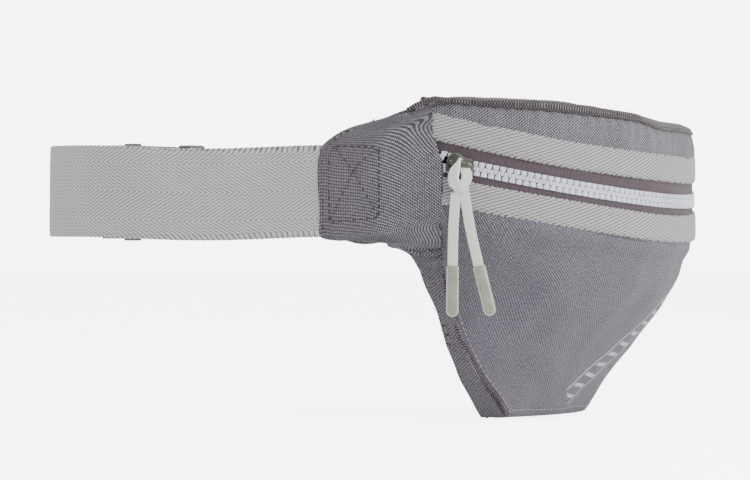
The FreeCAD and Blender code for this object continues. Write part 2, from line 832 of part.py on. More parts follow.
def wing_layer(name, side, near, thickness, inset):
    """One layer of a wing, tapering from the side seam to the belt."""
    body = new_body(name, wing_frame(side))
    lift = FreeCAD.Placement(V(0, 0, -side * value(near)), FreeCAD.Rotation())
    sketch = new_sketch(body, "outline", "XZ_Plane", lift)
    length, neck = "Dims.wing_length", "Dims.wing_neck_level"
    outline(
        sketch,
        [
            (f"Dims.wing_setback_low + {inset}", f"Dims.wing_foot + {inset}"),
            (f"{length} - {inset}", f"Dims.wing_end_foot + {inset}"),
            (f"{length} + Dims.wing_end_bulge - {inset}", "Dims.wing_end_top - Dims.wing_end_drop"),
            (f"{length} - {inset}", f"Dims.wing_end_top - {inset}"),
            (f"{length} - Dims.wing_neck_far", f"{neck} - Dims.wing_neck_fall - {inset}"),
            (f"{length} - Dims.wing_neck_near", f"{neck} + Dims.wing_neck_rise - {inset}"),
            (f"{inset} + Dims.wing_shoulder_along", f"{neck} + Dims.wing_shoulder_rise - {inset}"),
            (inset, f"Dims.top_height - Dims.overcut - {inset}"),
            (f"Dims.wing_setback_stop + {inset}", "Dims.wing_stop_level"),
            (f"Dims.wing_setback_low + {inset}", "Dims.wing_tape_level"),
        ],
    )
    pad(body, sketch, thickness, reverse=side > 0)


def wings():
    belt_layer = "Dims.fabric + Dims.belt_thickness"
    for side, word in ((-1, "left"), (1, "right")):
        wing_layer(f"wing_{word}", side, "0", "Dims.fabric", "0")
        wing_layer(f"wing_pad_{word}", side, belt_layer, "Dims.wing_pad_thickness", "1.5")


def belt_places():
    """Start, end of the side run, centre of the turn and level line of the left belt half."""
    sweep = math.radians(value("wing_sweep"))
    along = V(-math.sin(sweep), math.cos(sweep), 0)
    inward = V(math.cos(sweep), math.sin(sweep), 0)
    seam = V(-value("wing_half_width"), value("wing_front"), 0)
    depth = value("fabric + belt_thickness / 2")
    start = seam + along * value("wing_length - belt_overlap") + inward * depth
    turn = start + along * value("belt_overlap + belt_side_run")
    centre = turn + inward * value("belt_turn_radius")
    return start, turn, centre


BELT_START, BELT_TURN, BELT_CENTRE = belt_places()
BACK_LINE = BELT_CENTRE.y + value("belt_turn_radius")


def belt_section(body, place, width="Dims.belt_width"):
    sketch = new_sketch(body, "section", "XY_Plane", place)
    thick = "Dims.belt_thickness"
    rectangle(sketch, f"-0.5 * {thick}", f"0.5 * {thick}", f"-0.5 * {width}", f"0.5 * {width}")
    return sketch


def belt_half(name, side, end):
    """From inside the wing, back along the hip, round the turn and along the back to the buckle."""
    body = new_body(name)
    level = FreeCAD.Placement(V(0, 0, value("belt_level")), FreeCAD.Rotation())
    path = new_sketch(body, "route", "XY_Plane", level)
    flip = lambda point: V(-side * point.x, point.y, 0)
    start, turn = flip(BELT_START), flip(BELT_TURN)
    centre = flip(BELT_CENTRE)
    finish = V(value(end), BACK_LINE, 0)
    radius = value("belt_turn_radius")
    out = (turn - centre).normalize()
    middle = centre + (out + Y_AXIS).normalize() * radius
    first = path.addGeometry(Part.LineSegment(start, turn))
    forward = side > 0
    bend = add_arc(path, turn, middle, V(centre.x, BACK_LINE, 0), forward)
    last = path.addGeometry(Part.LineSegment(V(centre.x, BACK_LINE, 0), finish))
    bend_start, bend_end = (1, 2) if forward else (2, 1)
    path.addConstraint(Sketcher.Constraint("Tangent", first, 2, bend, bend_start))
    path.addConstraint(Sketcher.Constraint("Tangent", bend, bend_end, last, 1))
    path.addConstraint(Sketcher.Constraint("Horizontal", last))
    sweep, seam = "Dims.wing_sweep", "(Dims.wing_length - Dims.belt_overlap)"
    depth = "(Dims.fabric + 0.5 * Dims.belt_thickness)"
    across = f"Dims.wing_half_width + {seam} * sin({sweep}) - {depth} * cos({sweep})"
    bind(path, "DistanceX", first, 1, f"{side} * ({across})")
    back = f"Dims.wing_front + {seam} * cos({sweep}) + {depth} * sin({sweep})"
    bind(path, "DistanceY", first, 1, back)
    run = "(Dims.belt_overlap + Dims.belt_side_run)"
    bind(path, "DistanceX", first, 2, f"{side} * ({across} + {run} * sin({sweep}))")
    bind(path, "DistanceY", first, 2, f"{back} + {run} * cos({sweep})")
    bind(path, "Radius", bend, None, "Dims.belt_turn_radius")
    bind(path, "DistanceX", last, 2, end)
    along = (turn - start).normalize()
    place = FreeCAD.Placement(
        V(start.x, start.y, value("belt_level")),
        FreeCAD.Rotation(Z_AXIS.cross(along), Z_AXIS, along, "ZYX"),
    )
    sketch = belt_section(body, place)
    pipe = body.newObject("PartDesign::AdditivePipe", f"{name}_sweep")
    pipe.Profile = sketch
    pipe.Spine = (path, ["Edge1", "Edge2", "Edge3"])


def belt_tail():
    """The free end beyond the buckle, lying along the outside of the right half."""
    body = new_body("belt_tail")
    level = FreeCAD.Placement(V(0, 0, value("belt_level")), FreeCAD.Rotation())
    path = new_sketch(body, "route", "XY_Plane", level)
    line = BACK_LINE + value("tail_gap")
    centre = V(-BELT_CENTRE.x, BELT_CENTRE.y, 0)
    radius = line - centre.y
    half = math.radians(value("tail_turn")) / 2
    start, corner = V(value("tail_start"), line, 0), V(centre.x, line, 0)
    middle = centre + V(math.sin(half), math.cos(half), 0) * radius
    finish = centre + V(math.sin(2 * half), math.cos(2 * half), 0) * radius
    run = path.addGeometry(Part.LineSegment(start, corner))
    bend = add_arc(path, corner, middle, finish, False)
    path.addConstraint(Sketcher.Constraint("Tangent", run, 2, bend, 2))
    path.addConstraint(Sketcher.Constraint("Horizontal", run))
    bind(path, "DistanceX", run, 1, "Dims.tail_start")
    path.addConstraint(Sketcher.Constraint("DistanceX", run, 2, corner.x))
    path.addConstraint(Sketcher.Constraint("DistanceY", run, 2, line))
    bind(path, "Radius", bend, None, f"Dims.belt_turn_radius + Dims.tail_gap")
    path.addConstraint(Sketcher.Constraint("DistanceX", bend, 1, finish.x))
    place = FreeCAD.Placement(
        V(start.x, start.y, value("belt_level")),
        FreeCAD.Rotation(Z_AXIS.cross(X_AXIS), Z_AXIS, X_AXIS, "ZYX"),
    )
    sketch = belt_section(body, place)
    pipe = body.newObject("PartDesign::AdditivePipe", "belt_tail_sweep")
    pipe.Profile = sketch
    pipe.Spine = (path, ["Edge1", "Edge2"])


# ---- buckle and keeper ----

BUCKLE_FRAME = FreeCAD.Placement(
    V(0, BACK_LINE + value("tail_gap") / 2, value("belt_level")), FreeCAD.Rotation()
)


def buckle_block(body, label, x_low, x_high, z_half, y_half):
    sketch = new_sketch(body, label, "XZ_Plane")
    rectangle(sketch, x_low, x_high, f"-({z_half})", z_half)
    return pad(body, sketch, f"2 * ({y_half})", midplane=True)


def buckle_cut(body, label, x_low, x_high, z_low, z_high, y_half):
    sketch = new_sketch(body, label, "XZ_Plane")
    rectangle(sketch, x_low, x_high, z_low, z_high)
    return pocket(body, sketch, f"2 * ({y_half})", midplane=True)


def buckle_socket():
    """The half that the arms click into, with a bar for the sewn belt end."""
    body = new_body("buckle_socket", BUCKLE_FRAME)
    deep, high = "Dims.buckle_half_depth", "Dims.buckle_half_height"
    buckle_block(body, "shell", "-Dims.socket_length", "0", high, deep)
    inside, room = "Dims.socket_half_height", "Dims.socket_half_depth"
    over = "Dims.overcut"
    buckle_cut(body, "cavity", "-Dims.socket_depth", "Dims.overcut", f"-{inside}", inside, room)
    for side, word in ((-1, "lower"), (1, "upper")):
        near, top = f"{inside} - {over}", f"{high} + {over}"
        low, up = (near, top) if side > 0 else (f"-({top})", f"-({near})")
        buckle_cut(body, f"window_{word}", "-Dims.window_far", "-Dims.window_near", low, up, room)
    rail = "Dims.rail_inside"
    length, bar = "Dims.socket_length", "Dims.bar_width"
    start, end = f"-{length} - {over}", "-Dims.socket_depth - Dims.socket_wall"
    buckle_cut(body, "slot", start, end, f"-{rail}", rail, f"{deep} + {over}")
    sketch = new_sketch(body, "bar", "XZ_Plane")
    rectangle(sketch, f"-{length}", f"-{length} + {bar}", f"-{rail} - {over}", f"{rail} + {over}")
    pad(body, sketch, "2 * Dims.bar_half_depth", midplane=True)


def buckle_plug():
    """The half with the guiding tongue, and the bars that grip the adjustable belt."""
    body = new_body("buckle_plug", BUCKLE_FRAME)
    deep, high = "Dims.buckle_half_depth", "Dims.buckle_half_height"
    gap, end, rail = "Dims.plug_gap", "Dims.plug_length", "Dims.rail_inside"
    buckle_block(body, "frame", gap, end, high, deep)
    over = "Dims.overcut"
    shoulder = f"{gap} + Dims.plug_shoulder"
    buckle_cut(body, "slot", shoulder, f"{end} + {over}", f"-{rail}", rail, f"{deep} + {over}")
    for number, word in enumerate(("grip", "end")):
        near = f"{shoulder} + Dims.plug_bar_first + {number} * Dims.plug_bar_spacing"
        sketch = new_sketch(body, f"bar_{word}", "XZ_Plane")
        rectangle(sketch, near, f"{near} + Dims.bar_width", f"-{rail} - {over}", f"{rail} + {over}")
        pad(body, sketch, "2 * Dims.bar_half_depth", midplane=True)
    tongue = "Dims.tongue_half_height"
    sketch = new_sketch(body, "tongue", "XZ_Plane")
    tongue_end = "-(Dims.socket_depth - Dims.tongue_clearance)"
    rectangle(sketch, tongue_end, f"{gap} + {over}", f"-{tongue}", tongue)
    pad(body, sketch, "2 * Dims.tongue_half_depth", midplane=True)


def buckle_arm(name, side):
    """A springy arm with the pad that is pressed through the socket's window."""
    body = new_body(name, BUCKLE_FRAME)
    sketch = new_sketch(body, "profile", "XZ_Plane")
    inside, outside, pad_top = "Dims.arm_inside", "Dims.arm_outside", "Dims.arm_pad_outside"
    near, far = "Dims.arm_pad_near", "Dims.arm_pad_far"
    corners = [
        ("0", inside),
        ("0", outside),
        (f"-{near}", f"{outside} + Dims.arm_rise"),
        (f"-{near}", pad_top),
        (f"-({near} + Dims.arm_pad_crest)", pad_top),
        (f"-{far}", f"{pad_top} - Dims.arm_pad_slope"),
        (f"-{far}", f"{inside} + Dims.arm_rise"),
    ]
    outline(sketch, [(x, f"{side} * ({z})") for x, z in corners])
    pad(body, sketch, "2 * Dims.arm_half_depth", midplane=True)


def keeper_loop():
    """An elastic band round the belt and its tail."""
    place = FreeCAD.Placement(
        V(value("keeper_position"), BUCKLE_FRAME.Base.y, value("belt_level")), FreeCAD.Rotation()
    )
    body = new_body("keeper_loop", place)
    sketch = new_sketch(body, "ring", "YZ_Plane")
    room = "Dims.keeper_clearance"
    deep = f"(0.5 * Dims.tail_gap + 0.5 * Dims.belt_thickness + {room})"
    high = f"(0.5 * Dims.belt_width + {room})"
    wall = "Dims.keeper_wall"
    rectangle(sketch, f"-({deep} + {wall})", f"{deep} + {wall}", f"-({high} + {wall})", f"{high} + {wall}")
    rectangle(sketch, f"-{deep}", deep, f"-{high}", high)
    pad(body, sketch, "Dims.keeper_width", midplane=True)


# ---- the assembly ----


def build():
    zip_bands()
    tooth_row("zip_teeth_upper", 1)
    tooth_row("zip_teeth_lower", -1)
    zip_stops()
    slider_body()
    slider_bridge()
    pull()
    front_panel_lower()
    top_panel()
    top_piping()
    side_gusset("side_gusset_left", -1)
    side_gusset("side_gusset_right", 1)
    bottom_panel()
    back_layer("back_panel", "0", "Dims.fabric")
    back_layer("back_foam", "Dims.fabric", "Dims.foam")
    wings()
    belt_half("belt_left", -1, "Dims.belt_end_left")
    belt_half("belt_right", 1, "Dims.belt_end_right")
    belt_tail()
    buckle_socket()
    buckle_plug()
    buckle_arm("buckle_arm_upper", 1)
    buckle_arm("buckle_arm_lower", -1)
    keeper_loop()


def check_and_export():
    doc.recompute()
    for item in doc.Objects:
        if "Invalid" in item.State or "Error" in item.State:
            raise RuntimeError(f"{item.Name} failed: {item.State}")
    os.makedirs("parts", exist_ok=True)
    for item in sub_parts:
        shape = item.Shape
        if shape.isNull() or not shape.isValid() or not shape.Solids:
            raise RuntimeError(f"{item.Label} has no valid solid")
        shape.exportStep(f"parts/{item.Label}.step")
        print(f"{item.Label}: {len(shape.Solids)} solid(s), {shape.Volume / 1000:.2f} cm3")
    print("bar centre", BAR_CENTRE)
    print("zip tangent", SLIDER_FRAME.Rotation.multVec(Y_AXIS))
    print("zip axis", ZIP_FRAME.Rotation.multVec(Z_AXIS))
    print("buckle", BUCKLE_FRAME.Base)


build()
check_and_export()
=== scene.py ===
import math

import bpy
import numpy as np
from mathutils import Matrix, Vector, noise


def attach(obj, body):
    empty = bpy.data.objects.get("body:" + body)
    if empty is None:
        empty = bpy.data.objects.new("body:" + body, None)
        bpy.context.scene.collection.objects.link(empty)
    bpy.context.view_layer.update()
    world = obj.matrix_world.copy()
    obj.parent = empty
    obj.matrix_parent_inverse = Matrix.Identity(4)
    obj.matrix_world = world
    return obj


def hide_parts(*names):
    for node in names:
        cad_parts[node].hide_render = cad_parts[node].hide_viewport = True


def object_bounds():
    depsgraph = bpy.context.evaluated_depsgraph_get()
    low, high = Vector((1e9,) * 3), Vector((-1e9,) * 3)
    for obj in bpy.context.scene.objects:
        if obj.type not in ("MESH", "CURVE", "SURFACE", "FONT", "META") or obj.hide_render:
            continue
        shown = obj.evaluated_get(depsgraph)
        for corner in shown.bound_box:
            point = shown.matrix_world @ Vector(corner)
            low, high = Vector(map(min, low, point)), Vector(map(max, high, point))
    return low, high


# A zipped waist pack: its front is at -y, and "left" is the viewer's left, at -x. Sizes are mostly
# written in mm, and MM or mm() turns them into metres.

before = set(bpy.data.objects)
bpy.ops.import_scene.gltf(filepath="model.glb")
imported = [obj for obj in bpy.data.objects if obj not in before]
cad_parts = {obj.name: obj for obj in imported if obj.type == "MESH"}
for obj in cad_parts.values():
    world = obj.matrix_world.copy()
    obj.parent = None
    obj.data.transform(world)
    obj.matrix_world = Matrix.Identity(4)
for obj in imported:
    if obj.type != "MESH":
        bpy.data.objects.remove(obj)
cad_low, cad_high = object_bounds()
MM = 0.001


def mm(*numbers):
    return Vector(numbers) * MM


# ---- camera: level, from the left of the front, far away ----

CAMERA_PLACE = (-2.3724, -0.7930, 0.020)
CAMERA_TURN = math.radians(20)  # the way it looks, from +x
camera_data = bpy.data.cameras.new("camera")
camera_data.sensor_width = 36
camera_data.lens = 270.4
camera_data.shift_y = -0.0373
camera_data.clip_start = 0.1
camera_data.clip_end = 30
camera = bpy.data.objects.new("camera", camera_data)
bpy.context.scene.collection.objects.link(camera)
camera.location = CAMERA_PLACE
look = Vector((math.cos(CAMERA_TURN), math.sin(CAMERA_TURN), 0))
camera.rotation_euler = look.to_track_quat("-Z", "Y").to_euler()
bpy.context.scene.camera = camera

# ---- materials ----


class Signal:
    """A number that a material's nodes work out, written in sums like any other number."""

    def __init__(self, paint, socket):
        self.paint, self.socket = paint, socket

    def __add__(self, other):
        return self.paint.math("ADD", self, other)

    def __sub__(self, other):
        return self.paint.math("SUBTRACT", self, other)

    def __mul__(self, other):
        return self.paint.math("MULTIPLY", self, other)

    def __truediv__(self, other):
        return self.paint.math("DIVIDE", self, other)

    def __pow__(self, other):
        return self.paint.math("POWER", self, other)

    def __lt__(self, other):
        return self.paint.math("LESS_THAN", self, other)

    def __gt__(self, other):
        return self.paint.math("GREATER_THAN", self, other)

    def __abs__(self):
        return self.paint.math("ABSOLUTE", self)


class Paint:
    """A material and short calls that add nodes to it."""

    def __init__(self, name, roughness, specular=0.35, sheen=0.0, metallic=0.0, coat=0.0):
        self.material = bpy.data.materials.new(name)
        self.material.use_nodes = True
        self.nodes = self.material.node_tree.nodes
        self.links = self.material.node_tree.links
        self.shader = self.nodes["Principled BSDF"]
        settings = {
            "Roughness": roughness,
            "Specular IOR Level": specular,
            "Sheen Weight": sheen,
            "Sheen Roughness": 0.45,
            "Metallic": metallic,
            "Coat Weight": coat,
        }
        for label, value in settings.items():
            self.shader.inputs[label].default_value = value

    def put(self, value, socket):
        if isinstance(value, Signal):
            value = value.socket
        if isinstance(value, bpy.types.NodeSocket):
            self.links.new(value, socket)
        elif value is not None:
            socket.default_value = value

    def math(self, operation, first, second=None):
        node = self.nodes.new("ShaderNodeMath")
        node.operation = operation
        self.put(first, node.inputs[0])
        self.put(second, node.inputs[1])
        return Signal(self, node.outputs[0])

    def cloth(self):
        """What is kept on a cloth's mesh: distance along it and across it, and in the third
        number, in cm, the share of its second look. The whole vector comes first."""
        node = self.nodes.new("ShaderNodeAttribute")
        node.attribute_name = "cloth"
        split = self.nodes.new("ShaderNodeSeparateXYZ")
        self.links.new(node.outputs["Vector"], split.inputs[0])
        along, across, zone = (Signal(self, socket) for socket in split.outputs)
        return node.outputs["Vector"], along, across, zone * 100.0

    def place(self):
        return self.nodes.new("ShaderNodeTexCoord").outputs["Object"]

    def noise(self, vector, scale, detail=2.0):
        node = self.nodes.new("ShaderNodeTexNoise")
        node.inputs["Scale"].default_value = scale
        node.inputs["Detail"].default_value = detail
        self.links.new(vector, node.inputs["Vector"])
        return Signal(self, node.outputs["Fac"])

    def ramp(self, value, low, high, low_out=0.0, high_out=1.0):
        node = self.nodes.new("ShaderNodeMapRange")
        node.interpolation_type = "SMOOTHSTEP"
        for number, socket in zip((value, low, high, low_out, high_out), node.inputs):
            self.put(number, socket)
        return Signal(self, node.outputs[0])

    def mix(self, share, first, second):
        node = self.nodes.new("ShaderNodeMix")
        node.data_type = "RGBA"
        self.put(share, node.inputs[0])
        self.put(first, node.inputs[6])
        self.put(second, node.inputs[7])
        return node.outputs[2]

    def scale(self, colour, share):
        node = self.nodes.new("ShaderNodeVectorMath")
        node.operation = "SCALE"
        self.put(colour, node.inputs[0])
        self.put(share, node.inputs["Scale"])
        return node.outputs[0]

    def colour(self, value):
        self.put(value, self.shader.inputs["Base Color"])

    def rough(self, value):
        self.put(value, self.shader.inputs["Roughness"])

    def bump(self, height, distance):
        node = self.nodes.new("ShaderNodeBump")
        node.inputs["Distance"].default_value = distance
        self.put(height, node.inputs["Height"])
        self.links.new(node.outputs[0], self.shader.inputs["Normal"])


def rgb(red, green, blue):
    """A colour given as it looks on screen, from 0 to 255."""
    linear = [((c / 255 + 0.055) / 1.055) ** 2.4 if c > 10 else c / 3294 for c in (red, green, blue)]
    return (*linear, 1.0)


def darker(colour, share):
    return (*(share * c for c in colour[:3]), 1.0)


def sine(distance, pitch):
    """A wave that crosses zero every pitch mm."""
    return distance.paint.math("SINE", distance * (math.pi / (pitch * MM)))


def woven(name, warp_with_sheen, weft, gap, pitch=0.74, printed=False, second=None):
    """Plain weave of thick filament yarn: floats of two directions. The floats along the cloth are lighter,
    partly by their yarn and partly by painted sheen, and the gaps where they cross hold painted shade.
    """
    gloss = 0.58
    paint = Paint(name, gloss, 0.4, 0.25)
    vector, along, across, zone = paint.cloth()
    # The second look brings its own yarn colours with their painted sheen and painted gap shade.
    if second:
        warp_with_sheen, weft, gap = (paint.mix(zone, a, b) for a, b in zip((warp_with_sheen, weft, gap), second))
    wave_x = sine(along + paint.noise(vector, 160) * 0.0007, pitch)
    wave_y = sine(across + paint.noise(vector, 45) * 0.0016, 0.93 * pitch)
    checker = wave_x * wave_y
    warp_height = abs(wave_x) ** 0.7 * (checker * 0.5 + 0.5)
    weft_height = abs(wave_y) ** 0.7 * (checker * -0.5 + 0.5)
    height = paint.math("MAXIMUM", warp_height, weft_height)
    # Where a float along the cloth lies on top, its lighter colour shows: partly yarn colour, partly
    # painted sheen.
    thread = paint.mix(paint.ramp(warp_height - weft_height, -0.1, 0.1), weft, warp_with_sheen)
    yarn = paint.ramp(paint.noise(vector, 900), 0.3, 0.7, 0.72, 1.16)
    cloud = paint.ramp(paint.noise(vector, 28, 3), 0.3, 0.7, 0.92, 1.06)
    # Low places of the weave, where the threads cross, take the gap colour: painted shade in the hollows.
    colour = paint.scale(paint.mix(paint.ramp(height, 0.25, 0.75), gap, thread), yarn * cloud)
    if printed:
        colour = print_mark(paint, colour, along, across, height)
    paint.colour(colour)
    paint.rough(paint.ramp(height, 0.2, 0.9, gloss + 0.2, gloss - 0.08))
    paint.bump(height, 0.00022)
    return paint.material


MARK_LEAN = math.radians(53.8)
MARK_START = (-0.022, -0.0905)
MARK_LENGTH, MARK_STEP, MARK_BAR, MARK_HALF = 0.083, 0.0072, 0.3, 0.0042
RULE_OFFSET, RULE_HALF = 0.0062, 0.00045


def print_mark(paint, under, along, across, height):
    """A generic print: a row of leaning bars between two thin lines, rubbed off in the gaps."""
    right, up = along - MARK_START[0], across - MARK_START[1]
    run = right * math.cos(MARK_LEAN) + up * math.sin(MARK_LEAN)
    side = up * math.cos(MARK_LEAN) - right * math.sin(MARK_LEAN)
    inside = (run > 0.0) * (run < MARK_LENGTH)
    step = paint.math("FRACT", (side * 0.6 + run) / MARK_STEP)
    offset = abs(side)
    bar = (step < MARK_BAR) * (offset < MARK_HALF)
    rule = abs(offset - RULE_OFFSET) < RULE_HALF
    ink = inside * paint.math("MAXIMUM", bar, rule) * paint.ramp(height, 0.3, 0.6, 0.55, 0.95)
    return paint.mix(ink, under, rgb(232, 232, 236))


def webbing(name, light, dark, angle, spacing, band=0.0, band_start=0.0, depth=0.00016):
    """Twill webbing: slanted ribs, turned about in bands for herringbone, with painted shade in the grooves
    between them.
    """
    paint = Paint(name, 0.62, 0.35, 0.3)
    vector, along, across, _ = paint.cloth()
    zigzag = paint.math("PINGPONG", across + band_start, band) if band else across
    slope = math.radians(angle)
    phase = along * math.sin(slope) + zigzag * math.cos(slope) + paint.noise(vector, 60) * 0.0005
    grain = abs(sine(along, 0.62 * spacing)) * 0.25 + abs(sine(phase, spacing)) * 0.75
    cloud = paint.ramp(paint.noise(vector, 40, 3), 0.3, 0.7, 0.0, 0.35)
    tone = paint.mix(cloud, light, darker(light, 0.86))
    # The dark colour fills the low places between ribs: painted shade in the grooves.
    paint.colour(paint.mix(paint.ramp(grain, 0.12, 0.72), dark, tone))
    paint.rough(paint.ramp(grain, 0.1, 0.9, 0.8, 0.52))
    paint.bump(grain, depth)
    return paint.material


def ribbed_tape(name, colour, shadow, pitch=0.7):
    """Warp-knit zip tape: fine ribs across, faint rows along."""
    paint = Paint(name, 0.72, 0.25, 0.25)
    vector, along, across, _ = paint.cloth()
    grain = abs(sine(across, 0.5)) * 0.35 + abs(sine(along, pitch)) * 0.65
    cloud = paint.ramp(paint.noise(vector, 500), 0.3, 0.7, -0.15, 0.15)
    paint.colour(paint.mix(paint.ramp(grain, 0.1, 0.8) + cloud, shadow, colour))
    paint.bump(grain, 0.00008)
    return paint.material


def speckled(name, colour, dark, roughness, scale=900, depth=0.00004, metallic=0.0, coat=0.0, wear=0.15):
    """Moulded or painted surface: fine grain, faint clouds and rubbed patches."""
    paint = Paint(name, roughness, 0.5, 0.0, metallic, coat)
    grain = paint.noise(paint.place(), scale, 3)
    cloud = paint.noise(paint.place(), 130, 3)
    paint.colour(paint.mix(paint.ramp(grain * 0.35 + cloud * 0.65, 0.35, 0.65), dark, colour))
    paint.rough(paint.ramp(cloud, 0.35, 0.65, roughness - wear, roughness + wear))
    paint.bump(grain, depth)
    return paint.material


def cord_cloth(name, colour, shadow):
    """Smooth flat braid: very fine chevrons of yarn."""
    paint = Paint(name, 0.68, 0.3, 0.35)
    _, along, across, _ = paint.cloth()
    grain = abs(sine(across, 0.5)) * 0.4 + abs(sine(along + abs(across) * 0.9, 0.55)) * 0.6
    paint.colour(paint.mix(paint.ramp(grain, 0.0, 0.6), shadow, colour))
    paint.bump(grain, 0.00009)
    return paint.material


def spacer_mesh(name, colour, hole_shade):
    """Breathable knit with small round holes in offset rows, with painted shade inside the holes."""
    paint = Paint(name, 0.78, 0.25, 0.3)
    vector, along, across, _ = paint.cloth()
    hole_share = paint.ramp(sine(along, 1.7) * sine(across, 1.5), 0.42, 0.68)
    knit = paint.noise(vector, 1500)
    tone = paint.mix(paint.ramp(knit, 0.35, 0.65), darker(colour, 0.75), colour)
    # The holes take a dark colour: painted shade inside them.
    paint.colour(paint.mix(hole_share, tone, hole_shade))
    paint.bump(knit * 0.3 - hole_share, 0.0003)
    return paint.material


# Woven looks as along, across and gap colours. The colour along is lighter partly by its yarn and partly by
# painted sheen; the coarse look paints that sheen strongest.
COARSE = rgb(200, 198, 206), rgb(84, 78, 88), rgb(26, 21, 27)
# The last colour of every woven look, the coarse one above too, is painted shade in the gaps where threads
# cross.
FABRIC = woven("pack fabric", rgb(160, 156, 165), rgb(104, 98, 108), rgb(42, 35, 42), second=COARSE)
FABRIC_PRINTED = woven(
    "printed fabric", rgb(172, 168, 180), rgb(114, 107, 120), rgb(50, 43, 52), printed=True, second=COARSE
)
FABRIC_COARSE = woven("shoulder fabric", *COARSE, 0.7)
FABRIC_DARK = woven("edge fabric", rgb(150, 141, 145), rgb(58, 46, 51), rgb(22, 16, 19), 0.6)
# In both webbings the second colour is painted shade in the grooves between ribs.
BELT = webbing("belt webbing", rgb(200, 196, 199), rgb(84, 78, 83), 32, 1.25, 0.0122, 0.0048)
TRIM = webbing("trim webbing", rgb(190, 186, 188), rgb(62, 56, 60), -27, 1.35, depth=0.00025)
TAPE = ribbed_tape("zip tape", rgb(92, 81, 87), rgb(58, 49, 54))
TEETH = speckled("moulded teeth", rgb(232, 236, 244), rgb(214, 219, 229), 0.34, wear=0.08)
METAL = speckled("painted metal", rgb(92, 91, 84), rgb(70, 69, 63), 0.36, 1400, 0.00003, 0.35, 0.3)
CORD = cord_cloth("braided cord", rgb(238, 238, 231), rgb(205, 204, 195))
TIP = speckled("dipped tip", rgb(164, 166, 152), rgb(150, 152, 138), 0.42, 700, 0.00003, 0.0, 0.2)
TIP_RIM = speckled("dipped rim", rgb(212, 213, 202), rgb(196, 197, 186), 0.45, 700)
THREAD = speckled("thread", rgb(74, 64, 72), rgb(52, 44, 50), 0.6, 3000, 0.00005)
THREAD_LIGHT = speckled("light thread", rgb(188, 184, 190), rgb(160, 156, 163), 0.6, 3000, 0.00005)
PLASTIC = speckled("moulded plastic", rgb(126, 121, 128), rgb(108, 103, 110), 0.45, 1300, 0.00008)
ELASTIC = ribbed_tape("keeper elastic", rgb(132, 127, 133), rgb(88, 82, 88), 0.9)
# The spacer mesh's second colour is painted shade inside its holes.
MESH = spacer_mesh("spacer mesh", rgb(128, 124, 132), rgb(48, 43, 49))
FOAM = speckled("foam", rgb(104, 103, 107), rgb(86, 85, 89), 0.85, 1800, 0.0002)

# ---- mesh helpers ----


def make_piece(name, vertices, faces, material, cloth=None):
    mesh = bpy.data.meshes.new(name)
    mesh.from_pydata([tuple(v) for v in vertices], [], [tuple(int(i) for i in f) for f in faces])
    if cloth is not None:
        attribute = mesh.attributes.new("cloth", "FLOAT_VECTOR", "POINT")
        attribute.data.foreach_set("vector", np.asarray(cloth, np.float32).ravel())
    mesh.polygons.foreach_set("use_smooth", [True] * len(mesh.polygons))
    mesh.materials.append(material)
    mesh.update()
    piece = bpy.data.objects.new(name, mesh)
    bpy.context.scene.collection.objects.link(piece)
    return piece


def finish_piece(piece, body, replaced=()):
    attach(piece, body)
    if replaced:
        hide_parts(*replaced)
    return piece


def unit(vectors):
    """The same directions, each one unit long."""
    return vectors / np.maximum(np.linalg.norm(vectors, axis=-1, keepdims=True), 1e-12)


def normals_of(grid):
    return unit(np.cross(np.gradient(grid, axis=1), np.gradient(grid, axis=0)))


def reach_along(points):
    """How far along a line each of its points lies."""
    return np.concatenate([[0], np.cumsum(np.linalg.norm(np.diff(points, axis=0), axis=1))])


def loft(near, far, count):
    """A grid of straight rows, each of count points, from one line to another."""
    share = np.linspace(0, 1, count)[None, :, None]
    return near[:, None, :] * (1 - share) + far[:, None, :] * share


def ring_faces(rings, sides, first=0, closed=False):
    """Quads between rings of points, with a cap at each end unless the rings close."""
    faces = []
    for ring in range(rings if closed else rings - 1):
        here, there = first + ring * sides, first + (ring + 1) % rings * sides
        for k in range(sides):
            after = (k + 1) % sides
            faces.append((here + k, here + after, there + after, there + k))
    if not closed:
        last = first + (rings - 1) * sides
        faces.append(tuple(range(first + sides - 1, first - 1, -1)))
        faces.append(tuple(range(last, last + sides)))
    return faces


def cloth_of(grid):
    """Distances along the rows and up the columns of a grid, from its middle."""
    rows, columns = grid.shape[:2]
    along = np.zeros((rows, columns))
    along[:, 1:] = np.cumsum(np.linalg.norm(np.diff(grid, axis=1), axis=2), axis=1)
    along -= along[:, columns // 2 : columns // 2 + 1]
    across = np.zeros((rows, columns))
    across[1:] = np.cumsum(np.linalg.norm(np.diff(grid, axis=0), axis=2), axis=0)
    return np.dstack([along, across, np.zeros((rows, columns))])


